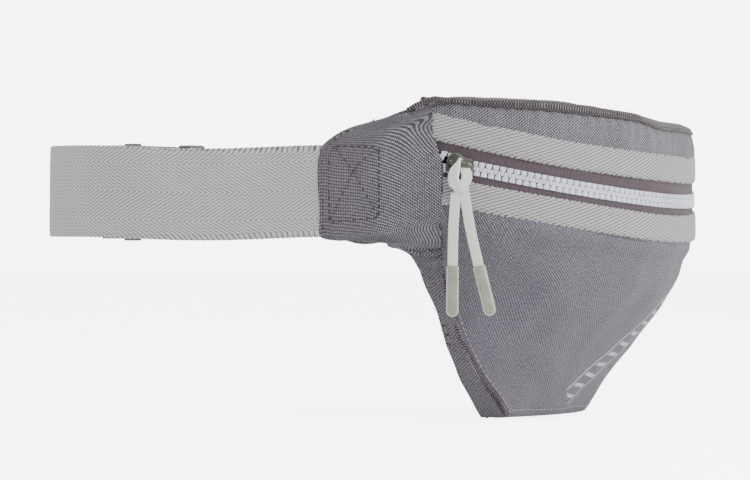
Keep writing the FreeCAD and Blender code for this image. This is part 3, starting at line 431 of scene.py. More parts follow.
def shell(name, grid, thickness, material, cloth=None):
    """A closed solid of cloth under a grid of outer points, with a rounded rim."""
    grid = np.asarray(grid, float)
    rows, columns = grid.shape[:2]
    normal = normals_of(grid)
    cloth = cloth_of(grid) if cloth is None else cloth
    inner = grid - normal * thickness
    index = np.arange(rows * columns).reshape(rows, columns)
    ring = (
        [(0, c) for c in range(columns)]
        + [(r, columns - 1) for r in range(1, rows)]
        + [(rows - 1, c) for c in range(columns - 2, -1, -1)]
        + [(r, 0) for r in range(rows - 2, 0, -1)]
    )
    along, up = np.gradient(grid, axis=1), np.gradient(grid, axis=0)
    rim, rim_cloth = [], []
    for r, c in ring:
        away = np.zeros(3)
        if c in (0, columns - 1):
            away += unit(along[r, c] * (1 if c else -1))
        if r in (0, rows - 1):
            away += unit(up[r, c] * (1 if r else -1))
        rim.append((grid[r, c] + inner[r, c]) / 2 + unit(away) * thickness / 2)
        rim_cloth.append(cloth[r, c])
    vertices = np.vstack([grid.reshape(-1, 3), inner.reshape(-1, 3), np.array(rim)])
    coordinates = np.vstack([cloth.reshape(-1, 3), cloth.reshape(-1, 3), np.array(rim_cloth)])
    under, edge = rows * columns, 2 * rows * columns
    faces = []
    for r in range(rows - 1):
        for c in range(columns - 1):
            quad = (index[r, c], index[r, c + 1], index[r + 1, c + 1], index[r + 1, c])
            faces.append(quad)
            faces.append(tuple(under + i for i in reversed(quad)))
    for i, (r, c) in enumerate(ring):
        j = (i + 1) % len(ring)
        a, b = index[r, c], index[ring[j]]
        faces.append((b, a, edge + i, edge + j))
        faces.append((edge + j, edge + i, under + a, under + b))
    return make_piece(name, vertices, faces, material, coordinates)


def through(stations, knots, places):
    """A smooth line through stations, read at places."""
    stations, knots = np.asarray(stations, float), np.asarray(knots, float)
    slopes = np.gradient(stations, knots, axis=0)
    result = []
    for place in places:
        i = min(max(int(np.searchsorted(knots, place)) - 1, 0), len(knots) - 2)
        gap = knots[i + 1] - knots[i]
        t = (place - knots[i]) / gap
        result.append(
            (2 * t**3 - 3 * t**2 + 1) * stations[i]
            + (t**3 - 2 * t**2 + t) * gap * slopes[i]
            + (3 * t**2 - 2 * t**3) * stations[i + 1]
            + (t**3 - t**2) * gap * slopes[i + 1]
        )
    return np.array(result)


def ruffle(grid, amount, size, seed, hold=0):
    """Moves a grid in and out by smooth noise, fading out over hold rows and columns at its rim."""
    grid = np.array(grid, float)
    normal = normals_of(grid)
    free = np.ones(grid.shape[:2])
    if hold:
        row, column = np.indices(free.shape)
        from_rim = np.minimum(np.minimum(row, row[::-1]), np.minimum(column, column[:, ::-1]))
        free = np.clip(from_rim / hold, 0, 1)
    shift = Vector((seed * 3.1, seed * 1.7, seed * 2.3))
    for r, c in np.ndindex(free.shape):
        lift = noise.noise(Vector(grid[r, c]) / size + shift)
        grid[r, c] += normal[r, c] * lift * amount * free[r, c]
    return grid


def tube(name, points, radii, material, sides=14, squash=(1.0, 1.0), up=None):
    """A round or flat tube along points, with one radius or one for each point."""
    points = [Vector(p) for p in points]
    radii = np.broadcast_to(radii, len(points)).tolist()
    vertices, cloth, length, side_before = [], [], 0.0, None
    for i, (point, radius) in enumerate(zip(points, radii)):
        ahead = points[min(i + 1, len(points) - 1)] - points[max(i - 1, 0)]
        ahead.normalize()
        if up is not None:
            side = ahead.cross(Vector(up)).normalized()
        elif side_before is None:
            side = ahead.orthogonal().normalized()
        else:
            side = (side_before - ahead * side_before.dot(ahead)).normalized()
        side_before = side
        rise = side.cross(ahead).normalized()
        if i:
            length += (point - points[i - 1]).length
        for k in range(sides):
            angle = 2 * math.pi * k / sides
            across, lift = math.cos(angle) * squash[0], math.sin(angle) * squash[1]
            vertices.append(point + (side * across + rise * lift) * radius)
            cloth.append((length, across * radius, 0))
    return make_piece(name, vertices, ring_faces(len(points), sides), material, cloth)


def rounded(wave, power):
    """A sine or cosine swelled out, so that a ring of them is a box with round corners."""
    return math.copysign(abs(wave) ** power, wave)


def strap(name, line, ways, widths, thicknesses, material, sides=20, power=0.55):
    """A flat strap along a line. Each point has the way its width runs, and its width and
    thickness in mm."""
    vertices, cloth, length = [], [], 0.0
    for i, (point, way) in enumerate(zip(line, ways)):
        ahead = (line[min(i + 1, len(line) - 1)] - line[max(i - 1, 0)]).normalized()
        side = (way - ahead * way.dot(ahead)).normalized()
        rise = side.cross(ahead).normalized()
        if i:
            length += (point - line[i - 1]).length
        for k in range(sides):
            angle = 2 * math.pi * k / sides
            wide = rounded(math.cos(angle), power) * widths[i] / 2
            deep = rounded(math.sin(angle), power) * thicknesses[i] / 2
            vertices.append(point + (side * wide + rise * deep) * MM)
            cloth.append((length, wide * MM, 0))
    return make_piece(name, vertices, ring_faces(len(line), sides), material, cloth)


def join(name, pieces):
    """Several meshes as one piece; materials keep their slots."""
    vertices, faces, cloth, marks, materials = [], [], [], [], []
    for piece in pieces:
        mesh = piece.data
        base = len(vertices)
        vertices += [v.co.copy() for v in mesh.vertices]
        faces += [tuple(base + i for i in p.vertices) for p in mesh.polygons]
        if mesh.materials[0] not in materials:
            materials.append(mesh.materials[0])
        marks += [materials.index(mesh.materials[0])] * len(mesh.polygons)
        values = np.zeros(3 * len(mesh.vertices), np.float32)
        if "cloth" in mesh.attributes:
            mesh.attributes["cloth"].data.foreach_get("vector", values)
        cloth.append(values.reshape(-1, 3))
        bpy.data.objects.remove(piece)
    joined = make_piece(name, vertices, faces, materials[0], np.vstack(cloth))
    for material in materials[1:]:
        joined.data.materials.append(material)
    joined.data.polygons.foreach_set("material_index", marks)
    return joined


def slab(name, outline, low, high, bevel, material, place):
    """A plate: an outline of two coordinates, between two heights, with rounded edges.
    place turns (first, second, height) into a point."""
    outline = np.array(outline, float)
    before, after = np.roll(outline, 1, axis=0), np.roll(outline, -1, axis=0)
    ahead = after - before
    normal = unit(np.stack([ahead[:, 1], -ahead[:, 0]], axis=1))
    area = 0.5 * np.sum(outline[:, 0] * after[:, 1] - outline[:, 1] * after[:, 0])
    if area < 0:
        outline, normal = outline[::-1], -normal[::-1]
    profile = []
    for angle in np.radians([0, 30, 60, 90]):
        profile.append((bevel * (1 - math.sin(angle)), low + bevel * (1 - math.cos(angle))))
    profile += [(inset, low + high - height) for inset, height in reversed(profile)]
    vertices = []
    for inset, height in profile:
        vertices += [place(first, second, height) for first, second in outline - normal * inset]
    return make_piece(name, vertices, ring_faces(len(profile), len(outline)), material)


STITCH_SHAPE = ((0.0, 0.25), (0.18, 0.85), (0.5, 1.0), (0.82, 0.85), (1.0, 0.25))


def stitches(name, points, normals, material, pitch=3.0, length=2.0, radius=0.22, sink=0.05):
    """A row of short thread stitches lying on cloth."""
    points, normals = np.asarray(points, float), np.asarray(normals, float)
    reach = reach_along(points)
    vertices, faces = [], []

    def read(values, place):
        return np.array([np.interp(place, reach, values[:, i]) for i in range(3)])

    for start in np.arange(0.5 * MM, reach[-1] - length * MM, pitch * MM):
        here, there, lift = read(points, start), read(points, start + length * MM), read(normals, start)
        along = there - here
        side = unit(np.cross(along, lift))
        faces += ring_faces(len(STITCH_SHAPE), 6, len(vertices))
        for share, width in STITCH_SHAPE:
            middle = here + along * share + lift * (width * radius - sink - 0.15 * radius) * MM
            for k in range(6):
                angle = math.pi * k / 3
                turn = side * math.cos(angle) + lift * math.sin(angle)
                vertices.append(middle + turn * width * radius * MM)
    return make_piece(name, vertices, faces, material)


SIDES = ((-1, "left"), (1, "right"))

# ---- the zip's cone ----

ZIP_RADIUS, ZIP_END, LEAN = 103.0, 77.5, math.radians(12.5)
ZIP_Y, ZIP_Z = 27.7, 46.8
ZIP_FRAME = (
    Matrix.Translation(mm(0, ZIP_Y, ZIP_Z))
    @ Matrix.Rotation(LEAN, 4, "X")
    @ Matrix.Rotation(-math.pi / 2, 4, "Z")
)


def zip_points(angle, along, out):
    """Points by degrees round the zip, and mm up the cone and out from it."""
    angle, along, out = np.broadcast_arrays(np.radians(angle), along, out)
    radius = ZIP_RADIUS + out * math.cos(LEAN) - along * math.sin(LEAN)
    rise = along * math.cos(LEAN) + out * math.sin(LEAN)
    back = -radius * np.cos(angle)
    x = radius * np.sin(angle)
    y = ZIP_Y + back * math.cos(LEAN) - rise * math.sin(LEAN)
    z = ZIP_Z + back * math.sin(LEAN) + rise * math.cos(LEAN)
    return np.stack([x, y, z], axis=-1) * MM


CLOTH_END = 81.0  # the sewn strips run on under the wings
angles = np.linspace(-CLOTH_END, CLOTH_END, 293)
arc = np.radians(angles) * ZIP_RADIUS


def zip_grid(low, high, out, rows):
    """A strip of the cone; low, high and out may change with the angle."""
    share = np.linspace(0, 1, rows)[:, None]
    return zip_points(angles[None, :], low + (high - low) * share, out)


def bump_at(x, centre, width):
    return np.exp(-(((np.asarray(x) - centre) / width) ** 2))


drape = 1 / (1 + np.exp(-(22 - np.abs(angles + 1)) / 1.6))
SEAM_AT = [-82, -78, -68, -54, -40, -30, -24, -19, -15, 0, 10, 20, 40, 60, 78, 82]
SEAM_HEIGHT = [
    25.4, 25.6, 28.0, 31.1, 32.7, 33.3, 33.5, 32.0,
    31.0, 31.0, 30.0, 28.6, 27.6, 27.4, 25.8, 25.6,
]  # fmt: skip
seam = np.interp(angles, SEAM_AT, SEAM_HEIGHT)
seam = np.convolve(np.pad(seam, 4, mode="edge"), np.ones(9) / 9, "valid")
ROLL_AT = [-82, -78, -68, -54, -40, -30, -24, -19, -15, 0, 10, 20, 82]
ROLL_RADIUS = [1.3, 1.3, 1.6, 2.2, 2.0, 1.8, 1.65, 1.3, 0.8, 0.7, 0.8, 1.0, 1.0]
roll = np.interp(angles, ROLL_AT, ROLL_RADIUS)

# Upper band, with puckers under the top seam.
share = np.linspace(0, 1, 19)[:, None]
pucker = 0.35 * np.sin(arc * 0.9 + 2 * np.sin(arc * 0.11)) * share**2
belly = 0.9 * np.sin(math.pi * share)
out = 0.3 + pucker + belly - 0.7 * share**8
band = ruffle(zip_grid(15.0, seam, out, 19), 0.0012, 0.013, 3, 5)
upper = shell("front_band_upper", band, 1.1 * MM, FABRIC_COARSE)
finish_piece(upper, "pack", ["front_panel_upper"])

# Tapes, splayed at the zip's left end.
splay = 2.0 * np.exp(-((angles + ZIP_END) / 4.5) ** 2) * (angles < 0)
tape_low = shell("zip_tape_low", zip_grid(-10.0, -2.6 - 0.6 * splay, 0.35, 7), 0.75 * MM, TAPE)
tape_high = shell("zip_tape_high", zip_grid(2.6 + 0.6 * splay, 12.0, 0.35, 7), 0.75 * MM, TAPE)
finish_piece(tape_low, "pack", ["zip_tape_lower"])
finish_piece(tape_high, "pack", ["zip_tape_upper"])

# Trims: ribbed webbing with scalloped edges.
fine = np.linspace(-CLOTH_END, CLOTH_END, 881)
fine_arc = np.radians(fine) * ZIP_RADIUS
scallop = 0.22 * np.sin(fine_arc * 2 * math.pi / 2.1)
for word, low, high in (("upper", 8.4, 19.4), ("lower", -17.4, -6.4)):
    rise = np.linspace(0, 1, 9)[:, None]
    out = 1.75 - 0.35 * (2 * rise - 1) ** 6 + 0.12 * np.sin(fine_arc * 0.13 + low)
    wave = 0.25 * np.sin(fine_arc * 0.055 + 0.4 * low)
    strip = zip_points(fine[None, :], low + scallop + wave + (high - low - 2 * scallop) * rise, out)
    flat = np.dstack([fine_arc + 0 * rise, (high - low) * rise + 0 * fine_arc, 0 * rise + 0 * fine_arc])
    trim = shell(f"trim_{word}", strip, 1.3 * MM, TRIM, flat * MM)
    finish_piece(trim, "pack", [f"trim_tape_{word}"])

# Teeth, by degrees round the zip: a closed chain from the slider on, and two a side left of it.
TOOTH_PITCH = 1.72
TEETH_START, TEETH_COUNT = -70.12, 85
LOOSE_START, LOOSE_COUNT = -76.2, 2
TOOTH = [
    (-1.28, 3.05), (1.28, 3.05), (1.3, 2.6), (1.28, 1.5), (1.05, 1.15), (0.66, 0.95),
    (0.62, 0.5), (0.76, 0.05), (0.8, -0.35), (0.62, -0.78), (0.3, -0.92),
    (-0.3, -0.92), (-0.62, -0.78), (-0.8, -0.35), (-0.76, 0.05), (-0.62, 0.5),
    (-0.66, 0.95), (-1.05, 1.15), (-1.28, 1.5), (-1.3, 2.6),
]  # fmt: skip


def tooth(angle, side, shift, tip_turn=0.0):
    def place(first, second, height):
        first, second = first + tip_turn * second * side, second + shift
        at = angle + math.degrees(first / ZIP_RADIUS)
        return Vector(zip_points(at, side * second, height))

    return slab("tooth", TOOTH, -1.15, 1.2, 0.28, TEETH, place)


for side, word in ((1, "upper"), (-1, "lower")):
    stagger = 0 if side > 0 else TOOTH_PITCH / 2
    row = [tooth(TEETH_START + stagger + TOOTH_PITCH * i, side, 0) for i in range(TEETH_COUNT)]
    for i in range(LOOSE_COUNT):
        row.append(tooth(LOOSE_START + stagger + TOOTH_PITCH * i, side, 1.5 - 0.2 * i, 0.12))
    teeth = join(f"teeth_{word}", row)
    finish_piece(teeth, "pack", [f"zip_teeth_{word}"])

stop_outline = [(-0.9, -2.9), (0.9, -2.9), (1.1, 0), (0.9, 2.9), (-0.9, 2.9), (-1.1, 0)]
stops = []
for side, _ in SIDES:
    middle = side * (ZIP_END - 0.5)

    def stop_place(first, second, height, middle=middle):
        return Vector(zip_points(middle + math.degrees(first / ZIP_RADIUS), second, height))

    stops.append(slab("stop", stop_outline, -1.1, 1.1, 0.35, TEETH, stop_place))
finish_piece(join("end_stops", stops), "pack", ["zip_stops"])

# ---- the lower front panel ----

SHARE = np.linspace(-1, 1, 241)


def crescent(half, edge, front, level):
    """An arc in plan from edge at its two ends to front in its middle."""
    sag = edge - front
    radius = (half**2 + sag**2) / (2 * sag)
    centre = front + radius
    turn = SHARE * math.atan2(half, centre - edge)
    return np.stack([radius * np.sin(turn), centre - radius * np.cos(turn), 0 * turn + level], axis=-1) * MM


full_line = crescent(86.8, 7.3, -64.5, -10)
trim_line = zip_points(SHARE * ZIP_END, -18.4, 0.2)
stations = [
    crescent(54.4, -10.6, -21.0, -69.3),
    crescent(56, -11, -23, -67.4),
    crescent(71.5, -2.5, -38.5, -48),
    crescent(81, 4.5, -53.5, -28),
    full_line,
    (full_line + trim_line) / 2,
    trim_line,
    zip_points(SHARE * ZIP_END, -10.3, 0.2),
]
PANEL_HEIGHT = 106.8
knots = [0, 2.8, 24.8, 45.8, 64.8, 81.8, 98.8, PANEL_HEIGHT]
panel = through(stations, knots, np.linspace(0, PANEL_HEIGHT, 101))
height = np.linspace(0, 1, 101)[:, None]
edge_near = np.exp(-((1 - np.abs(SHARE)) * 95 / 1.6) ** 2)
foot_near = 0.3 * np.exp(-((height * PANEL_HEIGHT) / 1.4) ** 2)
pull_in = np.maximum(edge_near[None, :] * (height < 0.86), foot_near)
side_fold = bump_at(np.abs(SHARE)[None, :], 0.93, 0.05) * np.sin(height * 34 + 3 * np.sin(9 * height))
corner_fold = bump_at(np.abs(SHARE)[None, :], 1.0, 0.16) * bump_at(height, 0.66, 0.12)
corner_fold = corner_fold * np.sin(height * 105 - 14 * np.abs(SHARE)[None, :])
full = 2.2 * np.exp(-(((height - 0.6) / 0.17) ** 2)) * (1 - SHARE[None, :] ** 6)
panel_shift = full - 1.1 * pull_in + 0.25 * side_fold * (1 - edge_near) + 0.35 * corner_fold
panel = panel + normals_of(panel) * panel_shift[:, :, None] * MM
panel = ruffle(panel, 0.0013, 0.03, 1, 4)
panel = ruffle(panel, 0.0006, 0.011, 2, 4)
panel_cloth = cloth_of(panel)
panel_cloth[:, :, 1] -= panel_cloth[-1, :, 1][None, :]
# Near the top corners the coarse look blends in, with its stronger painted sheen and deeper painted gap
# shade.
near_corner = np.clip(1.15 - np.hypot((height - 0.93) / 0.16, (np.abs(SHARE)[None, :] - 0.86) / 0.2), 0, 1)
panel_cloth[:, :, 2] = 0.6 * near_corner * 0.01
front = shell("front_panel", panel, 1.2 * MM, FABRIC_PRINTED, panel_cloth)
finish_piece(front, "pack", ["front_panel_lower"])

# ---- side panels: gusset and wing in one cloth ----


BACK_FLAT, WRAP_RADIUS = 45.0, 64.0
WING_SWEEP = math.radians(20)
WING_X, WING_Y = 100.6, 5.4


def back_line(x):
    """How far back the wearer's side lies: flat in the middle, then wrapping forward round the hips."""
    reach = np.maximum(np.abs(x) - BACK_FLAT, 0.0)
    return WRAP_RADIUS - np.sqrt(WRAP_RADIUS**2 - reach**2)


def wing_point(along, level, inward=0.0):
    x = WING_X + along * math.sin(WING_SWEEP) - inward * math.cos(WING_SWEEP)
    y = WING_Y + along * math.cos(WING_SWEEP) + inward * math.sin(WING_SWEEP)
    return (x, y, level)


def ring_end(along):
    """The sewn front edge of the wing, lapped over the ends of the zip and its trims."""
    lap = 3.3 * min(max((15 - along) / 31, 0), 1) - 3.0 * min(max((along + 2) / 14, 0), 1)
    lift = 0.7 + 2.3 * min(max((21 - along) / 3, 0), 1)
    x, y, z = zip_points(ZIP_END + 0.1 - lap, along, lift) / MM
    return (x, y, z)


SIDE_FRONT = [
    (54.9, -10.4, -69.3), (71.8, -2.2, -48), (81.4, 3.9, -28), (86.6, 7.2, -12), (91.8, 7.4, -1),
    (94.5, 6.4, 3), (96.5, 5.5, 7), (98.5, 4.7, 11), (101.2, 4.0, 16), ring_end(-15),
    ring_end(-3), ring_end(2.5), ring_end(8), ring_end(13), ring_end(16.5), ring_end(21), ring_end(25.4),
]  # fmt: skip
SIDE_BACK = [
    (56.2, back_line(56), -69.3), (73.4, back_line(73), -48), (81, back_line(80.5), -28),
    (87.2, back_line(86.6), -12), (92.2, back_line(91.6), 1.5), (99, 25.5, 4.2),
    wing_point(25, 6.4), wing_point(38, 8), wing_point(50, 9.5), wing_point(51.6, 24),
    wing_point(52, 39), wing_point(50, 47), wing_point(44.5, 52.4), wing_point(37, 56.4),
    wing_point(25, 59.6), wing_point(12, 63), wing_point(1.6, 68.6),
]  # fmt: skip
side_knots = np.arange(17)
side_rows = np.linspace(0, 16, 113)
front_line = through(SIDE_FRONT, side_knots, side_rows)
rear_line = through(SIDE_BACK, side_knots, side_rows)
across = np.linspace(0, 1, 49)
side_sheet = loft(front_line, rear_line, 49)
row_place, across = side_rows[:, None], across[None, :]
fold = bump_at(row_place, 4.6, 0.95) * np.sin(row_place * 8.2 + 2.4 * across)
fold = fold * (1 - 0.75 * across) * 1.1
crease = -1.2 * bump_at(row_place, 5.2, 0.22) * (1 - across) ** 0.5
curl = -1.4 * np.exp(-((1 - across) * 30 / 2.2) ** 2) * (row_place > 5.5)
swell = 1.6 * np.sin(math.pi * across) * bump_at(row_place, 11, 3.4)
seat = -0.9 * np.exp(-(across * 22 / 1.6) ** 2) * (row_place < 5)
side_shift = (fold + crease + curl + swell + seat) * (1 - bump_at(row_place, 16, 0.8))
SIDE = {}
for side, word in SIDES:
    grid = (side_sheet * np.array([side, 1, 1]) * MM)[:, ::side]
    grid = grid + normals_of(grid) * side_shift[:, ::side, None] * MM
    grid = ruffle(grid, 0.0014, 0.016, 5 + side, 6)
    SIDE[word] = grid
    cloth = cloth_of(grid)
    share = across[:, ::side]
    # On the front half of the wing the coarse look blends in, with its stronger painted sheen and deeper
    # painted gap shade.
    patch = 1 / (1 + np.exp(-(0.52 - share) / 0.035))
    cloth[:, :, 2] = patch * np.clip((row_place - 5.2) / 1.6, 0, 1) * 0.0085
    piece = shell(f"side_{word}", grid, 1.2 * MM, FABRIC, cloth)
    finish_piece(piece, "pack", [f"side_gusset_{word}", f"wing_{word}"])

# ---- top: rolled edge and panel ----

shown = slice(6, -6)
RUN_ON = [(13.0, 63.6), (9.5, 65.6), (5.0, 67.4), (1.2, 68.4)]
edge_tube = [Vector(p) for p in zip_points(angles[shown], seam[shown] + roll[shown] - 0.5, 0.1)]
run_left = [mm(*wing_point(along, level)) * Vector((-1, 1, 1)) for along, level in RUN_ON]
run_right = [mm(*wing_point(along, level)) for along, level in reversed(RUN_ON)]
edge_tube = [*run_left, *edge_tube, *run_right]
edge_radius = [0.9, 1.1, 1.2, 1.3, *roll[shown], 1.2, 1.1, 1.0, 0.8]
piping = tube(
    "top_edge", edge_tube, [r * MM for r in edge_radius], FABRIC_DARK, 14, squash=(0.85, 1.0), up=(0, 0, 1)
)
finish_piece(piping, "pack", ["top_piping"])

end_x = np.clip(np.sin(np.radians(angles)) * 96, -88, 88)
end_z = 69.2 - 0.6 * (np.abs(end_x) / 88) ** 4
end_row = np.stack([end_x, back_line(end_x) - 0.6, end_z], axis=-1) * MM
rows = []
for share in np.linspace(0, 1, 33):
    turn = min(share / 0.14, 1.0) * math.pi / 2
    lift = math.sin(turn) * (0.6 + 2.6 * drape)
    push = -0.4 - (1 - math.cos(turn)) * 1.4 + 0.9 * drape * math.sin(2 * turn)
    blend = max((share - 0.14) / 0.86, 0.0)
    row = zip_points(angles, seam + lift, push) * (1 - blend) + end_row * blend
    crown = 2.2 * math.sin(math.pi * blend**1.3) ** 1.4
    row[:, 2] += crown * MM * (1 - (np.abs(angles) / ZIP_END) ** 6)
    rows.append(row)
top_grid = ruffle(np.array(rows), 0.0012, 0.024, 9, 5)
top = shell("top", top_grid, 1.1 * MM, FABRIC)
finish_piece(top, "pack", ["top_panel"])

# The corner of cloth between a wing's upper edge and the back.
SHOULDER_FRONT = [(0.6, 67.6), (5, 66.4), (9.5, 64.6), (13, 62.6), (25, 59.0), (37, 55.6), (44, 51.6)]
SHOULDER_BACK = [(88, 69.0), (89.5, 66.5), (91, 63.5), (93, 60), (96.5, 54.5), (99.5, 49), (101, 44)]
fore = through([wing_point(a, z, 0.8) for a, z in SHOULDER_FRONT], np.arange(7), np.linspace(0, 6, 37))
aft = through([(x, back_line(x) - 0.4, z) for x, z in SHOULDER_BACK], np.arange(7), np.linspace(0, 6, 37))
for side, word in SIDES:
    grid = (loft(fore, aft, 15) * np.array([side, 1, 1]) * MM)[:, ::side]
    piece = shell(f"shoulder_{word}", grid[::-1], 1.0 * MM, FABRIC)
    finish_piece(piece, "pack")

# ---- bottom ----

foot = crescent(53.8, -11.2, -20.0, -69.2)
rows = []
for share in np.linspace(0, 1, 17):
    rear = np.stack([SHARE * 53.4, 0 * SHARE - 0.6, 0 * SHARE - 69.2], axis=-1) * MM
    row = foot * (1 - share) + rear * share
    row[:, 2] -= 0.3 * math.sin(math.pi * share) * MM
    rows.append(row)
bottom_grid = ruffle(np.array(rows)[::-1], 0.0005, 0.014, 12, 4)
finish_piece(shell("bottom", bottom_grid, 1.1 * MM, FABRIC), "pack", ["bottom_panel"])

# ---- back panel and foam ----

BACK_OUTLINE = [
    (52, -69.5), (57, -67), (73, -48), (80.5, -28), (87, -10), (92, 1), (98, 7), (101.2, 13),
    (101.6, 30), (101, 46), (96.5, 55), (92, 61), (90, 66), (88.5, 69.3),
]  # fmt: skip
halves, levels = np.array(BACK_OUTLINE).T
BACK_LOW, BACK_HIGH = levels[0], levels[-1]


def back_row(half, level, forward, count):
    """A row along the wearer's side at one level, from right to left."""
    x = np.linspace(1, -1, count) * half
    return np.stack([x, back_line(x) - forward, 0 * x + level], axis=-1) * MM


rows = []
for level in np.linspace(BACK_LOW, BACK_HIGH, 101):
    rows.append(back_row(np.interp(level, levels, halves), level, 0, 141))
back = np.array(rows)
x, z = back[:, :, 0] / MM, back[:, :, 2] / MM
half = np.interp(z, levels, halves)
margin = np.minimum(half - np.abs(x), np.minimum(z - BACK_LOW, BACK_HIGH - z))
puff = 4.2 * (1 - np.exp(-np.maximum(margin, 0) / 7))
channel = np.minimum(
    np.abs(np.abs(x) - 30 - 0.09 * (z + 10)), np.abs(z - 0.004 * x**2 + 6) + 40 * (np.abs(x) > 34)
)
puff -= 3.0 * np.exp(-((channel / 2.4) ** 2)) * (margin > 4)
back = back + normals_of(back) * puff[:, :, None] * MM
back_piece = shell("back_pad", back, 1.4 * MM, MESH)
finish_piece(back_piece, "pack", ["back_panel"])

rows = []
for level in np.linspace(-66, 66, 45):
    half = min(np.interp(level, levels, halves) - 6, 92)
    rows.append(back_row(half, level, 1.4, 61))
foam_grid = np.array(rows)
foam_piece = shell("back_foam_sheet", foam_grid, 3.8 * MM, FOAM)
finish_piece(foam_piece, "pack", ["back_foam"])

# ---- wing pads ----

PAD_FRONT = [(6, 6), (5, 14), (4, 24), (4, 34), (4, 44), (4, 54), (4, 66)]
PAD_REAR = [(48.5, 11), (50, 17), (50.5, 26), (50.5, 34), (49, 43), (38, 54.5), (10, 61)]
PAD_ROWS, PAD_COLUMNS = 61, 45
near = through(PAD_FRONT, np.arange(7), np.linspace(0, 6, PAD_ROWS))
far = through(PAD_REAR, np.arange(7), np.linspace(0, 6, PAD_ROWS))
plan = loft(near, far, PAD_COLUMNS)
row, column = np.indices((PAD_ROWS, PAD_COLUMNS))
border = np.minimum(
    np.minimum(row, row[::-1]) / (PAD_ROWS - 1), np.minimum(column, column[:, ::-1]) / (PAD_COLUMNS - 1)
)
crown = 1.9 * (1 - np.exp(-border * 22))
quilt = np.abs(((plan[:, :, 0] + 0.5 * plan[:, :, 1]) % 22) - 11)
crown -= 1.3 * np.exp(-((quilt / 1.6) ** 2)) * (border > 0.04)
pad_grid = np.stack(wing_point(plan[:, :, 0], plan[:, :, 1], 6.0 + crown), axis=-1)
for side, word in SIDES:
    grid = (pad_grid * np.array([side, 1, 1]) * MM)[:, ::-side]
    pad_piece = shell(f"wing_pad_face_{word}", grid, 3.0 * MM, MESH)
    finish_piece(pad_piece, "pack", [f"wing_pad_{word}"])

# ---- stitching on the sewn panels ----


def grid_line(grid, rows_at, columns_at):
    """A line across a grid and its normals there, from places given in rows and columns."""
    normal = normals_of(grid)
    points, lifts = [], []
    for r, c in zip(rows_at, columns_at):
        r0, c0 = min(int(r), grid.shape[0] - 2), min(int(c), grid.shape[1] - 2)
        a, b = r - r0, c - c0
        points.append(
            (grid[r0, c0] * (1 - b) + grid[r0, c0 + 1] * b) * (1 - a)
            + (grid[r0 + 1, c0] * (1 - b) + grid[r0 + 1, c0 + 1] * b) * a
        )
        lifts.append(normal[r0, c0])
    return points, lifts


BOX_NEAR, BOX_FAR, BOX_LOW, BOX_HIGH = 0.50, 0.90, 8.45, 11.25
BOX = [
    ((BOX_NEAR, BOX_LOW), (BOX_FAR, BOX_LOW)), ((BOX_FAR, BOX_LOW), (BOX_FAR, BOX_HIGH)),
    ((BOX_FAR, BOX_HIGH), (BOX_NEAR, BOX_HIGH)), ((BOX_NEAR, BOX_HIGH), (BOX_NEAR, BOX_LOW)),
    ((BOX_NEAR, BOX_LOW), (BOX_FAR, BOX_HIGH)), ((BOX_FAR, BOX_LOW), (BOX_NEAR, BOX_HIGH)),
]  # fmt: skip


def wing_line(side, word, start, end):
    """A line on a side panel between two places, given as share along the wing and side row."""
    grid = SIDE[word]
    shares = np.linspace(0, 1, 40)
    rows_at = (start[1] + (end[1] - start[1]) * shares) * 7
    along = start[0] + (end[0] - start[0]) * shares
    return grid_line(grid, rows_at, (along if side > 0 else 1 - along) * (grid.shape[1] - 1))


for side, word in SIDES:
    rows = [stitches("row", *wing_line(side, word, *ends), THREAD, 3.0, 2.1, 0.26, 0.08) for ends in BOX]
    rear_edge = wing_line(side, word, (0.955, 6.4), (0.955, 12.2))
    rows.append(stitches("row", *rear_edge, THREAD, 2.8, 1.9, 0.2, 0.1))
    finish_piece(join(f"wing_stitching_{word}", rows), "pack")

for column, word in ((0, "left"), (-1, "right")):
    welt_line = panel[1:62, column] * np.array([1.004, 1, 1])
    welt = tube(f"seam_welt_{word}", welt_line, 0.75 * MM, FABRIC_DARK, 10)
    finish_piece(welt, "pack")
for side, word in SIDES:
    folds = []
    for row, radius in ((34.5, 0.5), (37.5, 0.42)):
        places = np.linspace(1, 40, 40)
        columns = places if side > 0 else 48 - places
        points, lifts = grid_line(SIDE[word], row - 5.5 * (1 - places / 48) ** 2, columns)
        line = [Vector(p) + Vector(n) * 0.15 * MM for p, n in zip(points, lifts)]
        thin = [radius * MM * math.sin(math.pi * (0.08 + 0.84 * p / 40)) for p in places]
        folds.append(tube("fold", line, thin, FABRIC_COARSE, 8))
    finish_piece(join(f"wing_folds_{word}", folds), "pack")

rows = []
for column in (3.6, 236.4):
    points, lifts = grid_line(panel, np.linspace(2, 62, 60), np.full(60, column))
    rows.append(stitches("row", points, lifts, THREAD_LIGHT, 2.7, 2.0, 0.22))
points, lifts = grid_line(panel, np.full(120, 4.2), np.linspace(6, 234, 120))
rows.append(stitches("row", points, lifts, THREAD_LIGHT, 2.7, 2.0, 0.18))
finish_piece(join("panel_stitching", rows), "pack")

# ---- belt ----

BELT_LEVEL, BELT_HALF = 29, 19.0
BELT_START = np.array([-101.459, 13.603])
BELT_INSIDE = 16  # mm of its line that the wing covers
PLY = 1.5  # half the step between the two plies of webbing at the buckle
BUCKLE_Y = 183.155
TURN_CENTRE, TURN_RADIUS = np.array([-99.783, 137.655]), 44


def belt_line(side, end):
    """The belt in plan: back from the wing, round the hip, and along the buckle's side to end."""
    ahead = np.array([-math.sin(WING_SWEEP), math.cos(WING_SWEEP)])
    points = [BELT_START + ahead * d for d in np.linspace(0, 115.2, 60)]
    for angle in np.radians(np.linspace(200, 90, 46))[1:-1]:
        points.append(TURN_CENTRE + TURN_RADIUS * np.array([math.cos(angle), math.sin(angle)]))
    points += [np.array([x, BUCKLE_Y - PLY]) for x in np.linspace(TURN_CENTRE[0], side * -end, 44)]
    return np.array(points) * [-side, 1]


